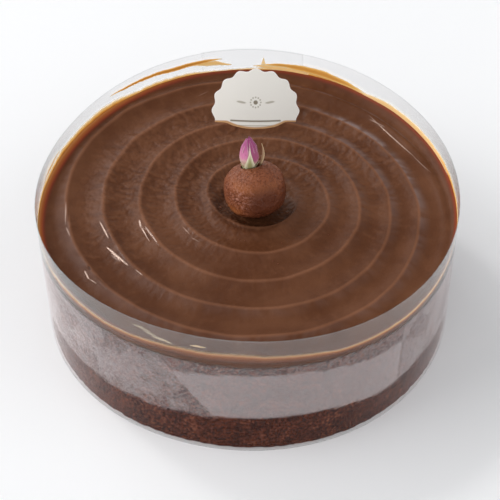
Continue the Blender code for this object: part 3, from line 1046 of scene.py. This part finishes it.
        # to_back, streaks and outermost shape the painted sheen outside the crests
        to_back = 0.12 + 0.88 * held(np.cos(angle - math.radians(42))) ** 4
        streaks = np.clip(1 + 1.4 * noise.at(chatter + 7.7), 0.3, 1.4)
        outermost = 0.22 + 0.78 * rise(0.058, 0.078, ring)
        left = rise(-0.2, 0.6, np.cos(angle - math.radians(-152)))
        # painted glow at the film, strongest on the left, where the light comes from
        painted_side_glow = 0.36 + 0.64 * rise(-0.2, 1, -np.cos(angle - math.radians(12)))
        values = {
            "edge": painted_side_glow * np.exp(-inset / 0.0015),
            "gleam": 0.14 * left * rise(0.7, 0.95, crest),
            "bloom": 1.15 * to_back * outermost * streaks * self.swirl.outer_slope(turns, ring),
            # painted shade in the hollow round the ball
            "pit": fall(0.0125, 0.0195, beside_ball),
            "nick_share": nick_share,
            "crest": crest,
            "rough": rough,
        }
        height = self.bottom + np.array(self.side_shares)[:, None] * (top[:1] - self.bottom)
        side = polar(self.outline.within(angle, height), angle, height)
        foot = len(side)
        piece = Piece("sauce_swirl").grid(
            np.concatenate([side, polar(radius, angle, top)]),
            chatter=np.concatenate([chatter[:1]] * foot + [chatter]),
            nick_across=np.concatenate([nick_across[:1]] * foot + [nick_across]),
            **{name: np.concatenate([0 * value[:foot], value]) for name, value in values.items()},
        )
        return piece.build(SauceGloss(), Slot.SAUCE, "swirled_sauce")


def lit_from_behind(angle: Array) -> Array:
    """Share of painted backlight: 1 where daylight comes through the film, and 0 where the cake is behind it,
    left of the front.
    """
    return rise(-1.05, -0.1, np.sin(angle + math.radians(8)))


@dataclass(frozen=True)
class RimGlaze:
    """The thin edge of the sauce on the film, all the way round: brown at its foot and clear at its top."""

    sauce: Sauce
    foot: float = 0.003
    thickness: float = 0.00024
    least_rise: float = 0.0008
    columns: int = 900
    levels: int = 22
    seed: int = 29

    def build(self) -> Object:
        """Carry a slim wedge round the film, from the thick sauce's side up to the tide line.

        Its body falls from 1 at its foot to 0 at the tide line, and drips and runs waver its top.

        Returns:
            The new object.
        """
        noise, angle = Lattice(self.seed), around(self.columns, -math.pi)
        circle = polar(1, angle, 0)
        contact = self.sauce.groove_level + self.sauce.contact(angle)
        waver = 0.0005 * noise.at(8 * circle) + 0.00045 * noise.layers(24 * circle, 3)
        tide = np.maximum(self.sauce.tide.at(angle) + waver, contact + self.least_rise)
        share, inner = there_and_back(np.linspace(0, 1, self.levels))
        low = contact - self.foot
        height = low + share[:, None] * (tide - low)
        body = ((tide - height) / (tide - low)) ** 1.35
        inset = 0.00003 + inner[:, None] * (0.00003 + self.thickness * body)
        points = polar(self.sauce.outline.at(angle, height) - inset, angle, height)
        # lit: the share of painted backlight
        piece = Piece("sauce_edge").grid(points, endless=True, body=body, lit=lit_from_behind(angle))
        return piece.build(ThinSauce(), Slot.SAUCE)


@dataclass(frozen=True)
class Smear:
    """A streak of sauce on the inside of the film."""

    body: float  # how thick it is at most: 0 clear, 0.4 yellow, 1 brown
    stations: tuple[Place, ...]  # degrees, lower and upper edge in millimetres
    glow: float = 0.6  # how much painted backlight glow it has at least

    def add_to(self, piece: Piece, outline: Outline, noise: Lattice) -> None:
        """Carry a lens along the stations; its thickness is a half circle from its lower to its upper edge.

        Args:
            piece: The piece that it joins.
            outline: The film's inner ring.
            noise: The waver of its edges.
        """
        ways, lows, highs = np.array(self.stations, float).T
        order = np.arange(len(ways))
        share = np.linspace(0, 1, 24 * len(ways))[:, None]
        spot = share * order[-1]
        angle = np.radians(np.interp(spot, order, ways))
        wave = stacked(angle * 60, 9, self.body)
        low = eased(spot, order, lows) * MM + 0.00022 * noise.layers(wave, 2)
        high = eased(spot, order, highs) * MM + 0.00022 * noise.layers(wave + 4.3, 2)
        high = np.maximum(high, low + 0.0001)
        across, inner = there_and_back(np.linspace(-1, 1, 13), shared=1)
        height = 0.5 * (low + high) + 0.5 * across * (high - low)
        ends = np.sqrt(held(1 - (2 * share - 1) ** 6))
        body = self.body * np.sqrt(held(1 - across**2)) * ends
        inset = 0.00032 + inner * (0.00004 + 0.00022 * body)
        points = polar(outline.at(angle, height) - inset, angle, height)
        piece.grid(points, body=body, lit=np.maximum(lit_from_behind(angle), self.glow))


@dataclass(frozen=True)
class Smears:
    """The smears that the sauce left on the film above its edge."""

    outline: Outline
    seed: int = 31
    smears: tuple[Smear, ...] = (
        Smear(0.41, ((136, 71.2, 71.7), (128, 69.9, 71.5), (120, 69.2, 71.4), (112, 68, 70.8),
                     (105, 68.7, 71.1), (98, 70, 70.6))),
        Smear(0.22, ((108, 68.7, 69.3), (101, 66.4, 69.7), (95, 65.7, 66.5))),
        Smear(0.37, ((86, 65.8, 66.5), (80, 65.6, 67.8), (74, 64.6, 68.6), (68, 64, 68.7), (62, 63.6, 67.4),
                     (54, 63.4, 65.4))),
        Smear(0.2, ((89, 64.6, 65.6), (83, 63, 66), (77, 62.4, 65.8), (72, 62.6, 64.4))),
        Smear(0.16, ((86.6, 65, 66), (85.8, 65, 70.8), (85, 65, 66.2))),
        Smear(0.18, ((54, 62, 64.6), (44, 62.2, 66.6), (34, 62.4, 66.4), (22, 62.6, 65.4),
                     (10, 62.4, 64.4))),
        Smear(0.15, ((-104.8, 67.5, 68.2), (-102.8, 67.2, 68.9), (-100.6, 67.5, 68.4)), 0.3),
        Smear(0.055, ((-120.5, 70.3, 70.8), (-118, 69.6, 71.3), (-115.2, 69.2, 70.4)), 0.5),
        Smear(0.045, ((-117.8, 68.6, 69.2), (-115.4, 67.6, 69.4), (-112.4, 67, 68.2)), 0.5),
        Smear(0.1, ((-115, 66.6, 67.4), (-112.4, 66, 68), (-109.4, 65.8, 66.8)), 0.3),
        Smear(0.28, ((176, 66.6, 67), (170, 66.9, 68.4), (162, 68.4, 69))),
    )

    def build(self) -> Object:
        """All smears as one piece.

        Returns:
            The new object.
        """
        piece, noise = Piece("sauce_smears"), Lattice(self.seed)
        for smear in self.smears:
            smear.add_to(piece, self.outline, noise)
        return piece.build(ThinSauce(), Slot.SAUCE)


# ---- film
@dataclass(frozen=True)
class FilmCollar:
    """A strip of clear film stood on edge: once round the cake, its outer end over its inner one."""

    outline: Outline
    tide: TideLine
    thickness: float = 0.0003
    start: float = math.radians(74)
    overlap: float = math.radians(30)
    jog: float = math.radians(50)
    jog_end: float = math.radians(4)
    rows: int = 720
    low_levels: int = 35
    high_levels: int = 27
    crumb_top: float = 0.0566
    # the level top of the painted reflection's panel
    painted_reflection_top: float = 0.0528
    cling_top: float = 0.0237
    middle: float = math.radians(-85)
    seed: int = 47

    def mist(self, angle: Array, height: Array, noise: Lattice) -> Array:
        """Where the film is misted: over the crumb, above a wavering line below which it clings, and more
        strongly over a panel at the front that is a painted reflection.

        Args:
            angle: Directions.
            height: Heights.
            noise: The waver.

        Returns:
            0 where the film is clear to 1 where it is misted most.
        """
        place = polar(self.outline.radius, angle, height)
        waver = noise.layers(place / 0.015, 3)
        slant = np.radians(-109.8 + 9.5 * (0.0478 - height) / 0.0223)
        # a panel with a slanted left edge and a level top: a painted reflection of a pale surface in front,
        # laid in as stronger mist
        painted_reflection = rise(-0.008, 0.008, angle - slant) * fall(-0.84, -0.81, angle)
        bend = np.minimum((angle - self.middle) ** 2, 0.25)
        torn = (1 - 0.7 * painted_reflection) * (0.004 * noise.at(place / 0.045) + 0.0014 * waver)
        above = rise(-0.0006, 0.0006, height - (self.cling_top - 0.016 * bend + torn))
        under = fall(0, 0.0024, height - self.crumb_top)
        high = self.painted_reflection_top - 0.022 * bend
        painted_reflection = painted_reflection * (0.55 + 0.45 * fall(-0.0003, 0.0003, height - high))
        loose = 0.58 + 0.22 * rise(-0.2, 0.2, waver)
        return above * under * np.where(painted_reflection > 0, np.maximum(painted_reflection, loose * (painted_reflection < 0.5)), loose)

    def build(self) -> Object:
        """Carry the strip's slim section round the outline; the outer end climbs over the inner one.

        Returns:
            The new object.
        """
        turn = np.linspace(0, TAU + self.overlap, self.rows)[:, None]
        angle = self.start + turn
        climb = (self.thickness + self.outline.gap) * rise(TAU - self.jog, TAU - self.jog_end, turn)
        low = np.linspace(0, self.crumb_top, self.low_levels, endpoint=False)
        high = np.linspace(self.crumb_top, self.outline.film_height, self.high_levels)
        height, outer = there_and_back(np.concatenate([low, high]))
        points = polar(self.outline.at(angle, height) + climb + self.thickness * outer, angle, height)
        facing = (angle + math.pi) % TAU - math.pi
        mist = self.mist(facing, height, Lattice(self.seed))
        above_crumb = rise(self.crumb_top, self.crumb_top + 0.0015, height)
        tide = self.tide.at(facing)
        above_sauce = rise(tide - 0.0008, tide + 0.0004, height)
        bare = np.maximum(mist, 0.04) * (1 - above_crumb) + above_crumb * (0.16 + 0.84 * above_sauce)
        bare = bare * np.where((turn > TAU) | (turn < self.overlap), 0.45, 1)
        top = rise(self.outline.film_height - 0.0003, self.outline.film_height, height)
        ends = np.exp(-turn / 0.003) + np.exp((turn - turn[-1]) / 0.003)
        edge = held(top + ends)
        piece = Piece("film_strip").grid(points, mist=mist, bare=bare, above=above_crumb, edge=edge)
        return piece.build(FilmClear(), Slot.FILM, "film_collar", sharp=math.radians(40))


# ---- ball
@dataclass(frozen=True)
class DateBall:
    """A rolled ball of date paste with a pressed oval hole near its top."""

    centre: Place = (0.0027, -0.0014, 0.0716)
    radius: float = 0.0146
    half_height: float = 0.0125
    squareness: float = 2.5
    tilt_back: float = math.radians(19)
    tilt_left: float = math.radians(8.6)
    hole_floor: float = 0.0092
    hole_half_width: float = 0.0051
    hole_half_depth: float = 0.0041
    rows: int = 140
    hole_rows: int = 16
    columns: int = 300
    seed: int = 59

    def shell(self) -> tuple[Array, Array]:
        """Turn a profile round the pole: up the squarish ellipse, over the hole's oval rim and down its wall.

        Returns:
            (points, outer): rows of places in the ball's own frame, and whether each is outside the hole.
        """
        angle = around(self.columns)
        hole = self.hole_half_width * self.hole_half_depth
        hole = hole / np.hypot(self.hole_half_depth * np.cos(angle), self.hole_half_width * np.sin(angle))
        lip_tilt = np.arctan2(hole, self.half_height * 0.985)
        tilt = math.pi - np.linspace(0, 1, self.rows)[:, None] * (math.pi - lip_tilt)
        across = (np.sin(tilt) / self.radius) ** self.squareness
        up = (np.abs(np.cos(tilt)) / self.half_height) ** self.squareness
        size = (across + up) ** (-1 / self.squareness)
        outside = polar(size * np.sin(tilt), angle, size * np.cos(tilt))
        rim = outside[-1:, :, 2]
        down = np.linspace(0, 1, self.hole_rows)[1:, None]
        narrow = hole * (1 - 0.13 * down - 0.1 * np.sqrt(down))
        inside = polar(narrow, angle, rim - (rim - self.hole_floor) * np.sin(0.5 * math.pi * down))
        floor = polar(hole * np.array([0.5, 0.2])[:, None], angle, self.hole_floor)
        points = np.concatenate([outside, inside, floor])
        return points, np.arange(len(points))[:, None] < len(outside)

    def build(self) -> Object:
        """Roughen the shell by low lumps, fine crumbly grain and shallow pits, tilt it, and mark its painted
        shade and painted highlight.

        Returns:
            The new object.
        """
        noise, (points, outer) = Lattice(self.seed), self.shell()
        grain = 0.00022 * noise.layers(points / 0.0052, 2) + 0.00012 * noise.layers(points / 0.0014, 3)
        pits = -0.00028 * rise(0.35, 0.8, noise.layers(points / 0.0024 + 9, 2))
        outwards = points / np.linalg.norm(points, axis=-1, keepdims=True)
        points = points + outwards * ((grain + pits) * np.where(outer, 1, 0.4))[..., None]
        tilt = Matrix.Rotation(-self.tilt_back, 3, "X") @ Matrix.Rotation(-self.tilt_left, 3, "Y")
        points = points @ np.array(tilt).T
        x, y, z = np.moveaxis(points, -1, 0)
        front = rise(0, 0.01, -y)
        # low and shade are painted shade: darker below, to the right and low in front
        low = held(0.38 - 1.1 * z / 0.014 + 0.7 * x / self.radius) * (1 - 0.6 * rise(0, 0.01, y))
        shade = held((0.0128 - z) / 0.0085) ** 0.8 * front * rise(-0.0085, 0.0025, x)
        shade = shade * (1 - 0.6 * rise(0.007, 0.013, x))
        band = bell((z - 0.0092) / 0.002) * front
        patch = bell(np.hypot((x + 0.0095) / 0.0036, (z + 0.0042) / 0.0032)) * front
        piece = Piece("date_paste_ball").grid(
            points + self.centre,
            low=np.maximum(low, 0.2 + 0.75 * shade),
            warm=held(0.55 * band + 1.1 * patch) * outer,
            # painted highlight on the upper left
            pale=bell(np.hypot((x + 0.005) / 0.007, (z - 0.004) / 0.006)) * outer,
            hole=1 - outer,
        )
        return piece.build(PasteMatte(), Slot.PASTE, "date_ball")


# ---- rosebud
BLADE, BLADE_FRONT = there_and_back(np.linspace(-1, 1, 13))  # across a petal or sepal, front and back
BLADE_OUT = np.abs(BLADE)


@dataclass(frozen=True)
class Rosebud:
    """A dried bud: petals that wrap each other and a calyx of pointed sepals."""

    base: Place = (0, 0.0022, 0.0812)
    lean_back: float = math.radians(12)
    height: float = 0.0176
    radius: float = 0.0045
    widest: float = 0.36
    foot_share: float = 0.55
    fullness: float = 1.8
    blade_thickness: float = 0.00022
    petals: tuple[tuple[float, ...], ...] = (  # direction and half width in degrees, top, how dark
        (150, 56, 0.9, 0.1),
        (88, 54, 0.96, 0.4),
        (30, 54, 0.92, 0.5),
        (-92, 44, 0.99, 0.95),
        (-34, 56, 0.97, 0.95),
        (-146, 58, 0.93, 0),
    )
    sepals: tuple[tuple[float, ...], ...] = (  # direction, top, drift, flare, half width; angles in degrees
        (-86, 0.82, 3, 0.0004, 52),
        (60, 0.5, 4, 0.0006, 46),
        (136, 0.46, -4, 0.0008, 46),
        (204, 0.24, 6, 0.0021, 40),
        (-14, 0.26, -4, 0.0017, 36),
        (-50, 0.17, 3, 0.0012, 28),
        (-130, 0.18, -3, 0.0013, 28),
    )

    def profile(self, share: Array) -> Array:
        """The bud's radius: a smooth swell from the foot to the belly, then a power curve to the point.

        Args:
            share: Share of the bud's height.

        Returns:
            The radius there.
        """
        below = self.foot_share + (1 - self.foot_share) * rise(0, self.widest, share)
        above = 1 - (np.clip(share - self.widest, 0, None) / (1 - self.widest)) ** self.fullness
        return self.radius * below * above

    def place(self, angle: Array, share: Array, lift: Array | float) -> Array:
        """Points on the leaning bud, or lifted off it.

        Args:
            angle: Direction round the bud's axis.
            share: Share of the bud's height.
            lift: Distance off the bud's own surface.

        Returns:
            The places.
        """
        radius = np.maximum(self.profile(share) + lift, 0.00003)
        y, z = turned(radius * np.sin(angle), self.height * share, self.lean_back)
        return stacked(radius * np.cos(angle), y, z) + self.base

    def blade(self, middle: Array, width: Array, share: Array, lift: Array) -> dict[str, Array]:
        """One petal or sepal: a thin closed blade wrapped on the bud.

        Args:
            middle: Its middle line's direction at each row, in radians.
            width: Its half width at each row, in radians.
            share: How high each row is, as a share of the bud.
            lift: Lift off the bud at each row and place across.

        Returns:
            Its points and attributes, as Piece.grid takes them.
        """
        thick = self.blade_thickness * BLADE_FRONT * (1 - 0.8 * BLADE_OUT**3)
        angle = middle + width * BLADE
        points = self.place(angle, share, lift + thick)
        vein = stacked(angle * 9, share * 3, middle[0])
        return {"points": points, "vein": vein, "side": BLADE_OUT, "up": share}

    def build_petals(self) -> Object:
        """A closed core, and blades on it: each lies on the one before, and its edges roll outwards.

        Returns:
            The new object.
        """
        piece = Piece("rosebud_petals")
        share, ring = np.linspace(0, 0.985, 40)[:, None], around(64)
        twist = 0.00022 * np.sin(3 * ring + 7 * share)
        core = self.place(ring, share, twist - 0.0007 * rise(0, 0.2, share))
        piece.grid(core, vein=polar(12, ring, share * 3), up=share, side=0, shade=0.8)
        along = np.linspace(0, 1, 40)[:, None]
        for order, (turn, half, top, shade) in enumerate(self.petals):
            width = np.radians(half) * (0.55 + 0.45 * rise(0, 0.35, along))
            width = width * np.sqrt(held(1 - along**6)) + 0.02
            share = top * along
            roll = 0.00042 * rise(0.62, 1, BLADE_OUT) * rise(0.25, 0.75, share)
            wave = 0.00014 * np.sin(17 * share + 3 * BLADE) * BLADE_OUT
            lift = 0.00008 * order - 0.0005 + roll + wave
            piece.grid(**self.blade(np.radians(turn - 10 * along**2), width, share, lift), shade=shade)
        return piece.build(PetalSilk(), Slot.PETAL, "rosebud")

    def build_calyx(self) -> Object:
        """A low cup round the foot, and sepals that taper to points and flare off the petals.

        Returns:
            The new object.
        """
        piece = Piece("rosebud_sepals")
        share, ring = np.array([0, 0.03, 0.06, 0.09, 0.11])[:, None], around(48)
        cup = self.place(ring, share, 0.00035 * np.sin(math.pi * held(share / 0.12)))
        piece.grid(cup, vein=polar(9, ring, share), up=share, side=0.5)
        along = np.linspace(0, 1, 48)[:, None]
        curl = 0.00012 * (1 - BLADE_OUT) + 0.00022 * rise(0.7, 1, BLADE_OUT)
        for turn, top, drift, flare, half in self.sepals:
            teeth = 1 + 0.1 * np.sin(26 * along) * (1 - along)
            width = np.radians(half) * (1 - along) ** 1.95 * teeth + 0.03 * (1 - along**4) + 0.008
            share = 0.02 + (top - 0.02) * along
            lift = 0.00022 + flare * share**1.5 + curl
            piece.grid(**self.blade(np.radians(turn + drift * along**2), width, share, lift))
        return piece.build(SepalDry(), Slot.SEPAL, "rosebud_calyx")


@dataclass(frozen=True)
class CurledSepal:
    """One narrow sepal that stands apart from the bud, on a curve between four handles."""

    handles: tuple[Place, ...] = (
        (0.0051, 0.0028, 0.0822), (0.0058, 0.0032, 0.088), (0.0074, 0.0038, 0.088), (0.0058, 0.0044, 0.0948),
    )
    width: float = 0.0019
    thickness: float = 0.00024
    turn: float = math.radians(-52)

    def build(self) -> Object:
        """Carry a bent blade along a cubic Bezier curve, widest in the middle and pointed at the end.

        Returns:
            The new object.
        """
        share = np.linspace(0, 1, 40)[:, None]
        weights = [(1 - share) ** 3, 3 * share * (1 - share) ** 2, 3 * share**2 * (1 - share), share**3]
        middle = sum(weight * np.array(handle) for weight, handle in zip(weights, self.handles))
        half = 0.5 * self.width * (0.12 + 0.88 * np.sin(math.pi * (0.14 + 0.85 * share)))
        across, front = there_and_back(np.linspace(-1, 1, 9))
        flat = np.array([math.cos(self.turn), math.sin(self.turn), 0])
        normal = np.array([-math.sin(self.turn), math.cos(self.turn), 0])
        cup = 0.3 * half * across**2 + self.thickness * (front - 0.5) * (1 - 0.7 * across**2)
        points = middle[:, None, :] + (half * across)[..., None] * flat + cup[..., None] * normal
        vein = stacked(across * 1.5, share * 4, 0)
        piece = Piece("sepal_curl").grid(points, vein=vein, side=0.2 + 0.8 * np.abs(across), up=0)
        finish = SepalDry("dried_sepal_straw", (0.62, 0.46, 0.27), (0.42, 0.28, 0.15))
        return piece.build(finish, Slot.CURL, "curled_sepal")


# ---- card and crumbs
@dataclass(frozen=True)
class Card:
    """A small round card with a scalloped edge, bent and leaning back, its foot in the sauce."""

    sauce: Sauce
    centre: Place = (0.0032, 0.06, 0.0675)
    radius: float = 0.0222
    lobes: int = 16
    lobe_depth: float = 0.0007
    lean: float = math.radians(25)
    roll: float = math.radians(0.4)
    bend_radius: float = 0.052
    thickness: float = 0.0004
    foot: float = 0.0574
    ornament_up: float = 0.0055
    dot_ring: float = 0.0026
    dots: int = 12
    leaf_out: float = 0.0072
    columns: int = 384
    rings: int = 90

    def place(self, across: Array, up: Array, off: Array) -> Array:
        """Bend the flat card round an upright cylinder, lean it back and put it in its place.

        Args:
            across: Places across the flat card.
            up: Places up it.
            off: Distance off its middle sheet, towards the viewer.

        Returns:
            The places.
        """
        across, height = turned(across, up, self.roll)
        bend, far = across / self.bend_radius, self.bend_radius + off
        y, z = turned(self.bend_radius - far * np.cos(bend), height, self.lean)
        return stacked(far * np.sin(bend), y, z) + self.centre

    @staticmethod
    def mark(across: Array, up: Array, size: float) -> Array:
        """1 within a printed size of the place where both are 0, and 0 outside, softened at the edge."""
        return held(0.5 + (size - np.hypot(across, up)) / 0.00025)

    def prints(self, x: Array, up: Array) -> tuple[Array, Array]:
        """The plain ornament: a disc in a ring of dots, small leaves beside it, and two rules below.

        Args:
            x: Places across the card.
            up: Places up it.

        Returns:
            (dark, pale): how much of each ink covers a place.
        """
        y = up - self.ornament_up
        spoke = (np.arctan2(y, x) * self.dots / TAU + 0.5) % 1 - 0.5
        dots = self.mark(np.hypot(x, y) - self.dot_ring, spoke * TAU * self.dot_ring / self.dots, 0.00042)
        leaf = np.abs(x) - self.leaf_out
        leaves = self.mark(leaf / 4.2, y - 0.00025 * np.sin(leaf * 700), 0.00055)
        rule = self.mark(np.clip(np.abs(x) - 0.0125, 0, None), up + 0.0042, 0.00042)
        thin = self.mark(np.clip(np.abs(x) - 0.0085, 0, None), up + 0.0066, 0.00022)
        return np.maximum(self.mark(x, y, 0.0011), rule), np.maximum.reduce([dots, leaves, thin])

    def build(self) -> Object:
        """Rings from the front's middle to the scalloped edge and back behind it, cut level at the foot.

        Returns:
            The new object.
        """
        reach, front = there_and_back(np.linspace(0, 1, self.rings + 1)[1:])
        reach, front, angle = reach[:, None], front[:, None], around(self.columns)
        edge = self.radius + self.lobe_depth * np.cos(self.lobes * angle)
        across, up = reach * edge * np.sin(angle), reach * edge * np.cos(angle)
        lowest = (self.foot - self.centre[2]) / math.cos(self.lean)
        up = np.maximum(up, lowest + across**2 / self.bend_radius * 0.5 * math.tan(self.lean))
        points = self.place(across, up, (front - 0.5) * self.thickness)
        dark, pale = self.prints(across, up)
        x, y, z = np.moveaxis(points, -1, 0)
        level = self.sauce.level(x, y)
        piece = Piece("cake_card").grid(
            points,
            rim=rise(0.955, 1, reach),
            dark_print=dark * front,
            pale_print=pale * front,
            stain=fall(level + 0.0001, level + 0.0012, z),
        )
        return piece.build(CardStock(), Slot.CARD, "plain_card", sharp=math.radians(50))


@dataclass(frozen=True)
class LooseCrumbs:
    """Tiny crumbs of date paste that lie on the sauce, mostly beside the ball."""

    sauce: Sauce
    count: int = 90
    level: float = 0.0602
    nearest: float = 0.015
    spread: float = 0.012
    farthest: float = 0.055
    sizes: tuple[float, float] = (0.00012, 0.00034)
    seed: int = 71

    def build(self) -> Object:
        """Scatter small closed grains: they thin out away from the ball, and their size is uneven.

        Returns:
            The new object.
        """
        draw = np.random.default_rng(self.seed)
        reach = self.nearest + self.spread * draw.exponential(1, self.count)
        bearing = draw.uniform(0, TAU, self.count)
        keep = reach < self.farthest
        size = draw.uniform(*self.sizes, keep.sum())
        middle = polar(reach[keep], bearing[keep], self.level + 0.4 * size) + [*self.sauce.ball_place, 0]
        piece = Piece("loose_crumbs")
        for place, scale in zip(middle, size):
            shape = scale * draw.uniform(0.7, 1.3, (2, 5))
            piece.grid(polar(shape, around(5), np.array([[-0.3], [0.4]]) * scale) + place, low=0)
        return piece.build(PasteMatte("loose_crumb_paste"), Slot.PASTE)


# ---- studio
@dataclass(frozen=True)
class SoftBox:
    """A square soft light that faces the cake."""

    name: str
    place: Place
    side: float
    watts: float

    def build(self) -> None:
        """Hang the light."""
        light = bpy.data.lights.new(self.name, "AREA")
        light.size = self.side
        light.energy = self.watts
        obj = linked(self.name, light)
        obj.location = self.place
        to_cake = Vector((0, 0, 0.05)) - Vector(self.place)
        obj.rotation_euler = to_cake.to_track_quat("-Z", "Y").to_euler()


@dataclass(frozen=True)
class Studio:
    """A plain pale floor, soft light and the camera at the photograph's angle."""

    aim: Place = (0.0004, 0, 0.0297)
    distance: float = 0.685
    elevation: float = math.radians(44.85)
    lens: float = 100
    floor_size: float = 6
    floor: Colour = (0.95, 0.95, 0.955)
    sky: Colour = (0.96, 0.975, 1)
    lights: tuple[SoftBox, ...] = (
        SoftBox("window", (-2.8, 2.6, 4.6), 0.7, 42),
        SoftBox("wide_panel", (-3.6, 3.6, 3.2), 4.5, 105),
        SoftBox("left_panel", (-4.4, -0.6, 3.4), 4, 115),
        SoftBox("right_fill", (4.2, -1.5, 3.6), 4, 40),
    )

    def add_floor(self) -> None:
        """A large pale plane."""
        half = self.floor_size / 2
        corners = [(-half, -half, 0), (half, -half, 0), (half, half, 0), (-half, half, 0)]
        mesh = bpy.data.meshes.new("floor")
        mesh.from_pydata(corners, [], [(0, 1, 2, 3)])
        material = bpy.data.materials.new("pale_floor")
        bench = Bench(material)
        surface = {"Base_Color": self.floor, "Emission_Color": self.floor}
        bench.show(bench.shader(**surface, Roughness=0.9, Emission_Strength=0.065))
        mesh.materials.append(material)
        linked("floor", mesh)

    def add_sky(self) -> None:
        """Pale light from all round: dim overhead, brighter by the horizon and on the viewer's side."""
        world = bpy.data.worlds.new("studio")
        bench = Bench(world)
        incoming = bench.add("ShaderNodeNewGeometry", {}, {}, "Incoming")
        height = bench.add("ShaderNodeSeparateXYZ", {}, {0: incoming}, "Z")
        height = bench.add("ShaderNodeMath", {"operation": "ABSOLUTE"}, {0: height})
        towards = bench.add("ShaderNodeSeparateXYZ", {}, {0: incoming}, "Y")
        strength = (0.34 + 0.68 * (1 - height) ** 1.5) * (1 + 0.45 * towards)
        sky = bench.add("ShaderNodeBackground", {}, {"Color": self.sky, "Strength": strength})
        bench.show(sky, "ShaderNodeOutputWorld")
        bpy.context.scene.world = world

    def add_camera(self) -> None:
        """The camera looks down at the cake from the front."""
        camera = bpy.data.cameras.new("camera")
        camera.lens = self.lens
        camera.sensor_width = 36
        obj = linked("camera", camera)
        back = Vector((0, -math.cos(self.elevation), math.sin(self.elevation)))
        obj.location = Vector(self.aim) + self.distance * back
        obj.rotation_euler = (math.pi / 2 - self.elevation, 0, 0)
        bpy.context.scene.camera = obj

    def build(self) -> None:
        """Set the stage."""
        self.add_camera()
        self.add_floor()
        self.add_sky()
        for light in self.lights:
            light.build()
        view = bpy.context.scene.view_settings
        view.view_transform = "Standard"
        view.look = "None"


def main() -> None:
    """Load the solids, dress them and set the stage."""
    logging.basicConfig(level=logging.INFO, format="%(message)s")
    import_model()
    outline = Outline()
    sauce = Sauce(outline)
    rosebud = Rosebud()
    Sponge(outline).build()
    sauce.build()
    RimGlaze(sauce).build()
    Smears(outline).build()
    FilmCollar(outline, sauce.tide).build()
    DateBall().build()
    rosebud.build_petals()
    rosebud.build_calyx()
    CurledSepal().build()
    Card(sauce).build()
    LooseCrumbs(sauce).build()
    Studio().build()


if __name__ == "__main__":
    main()
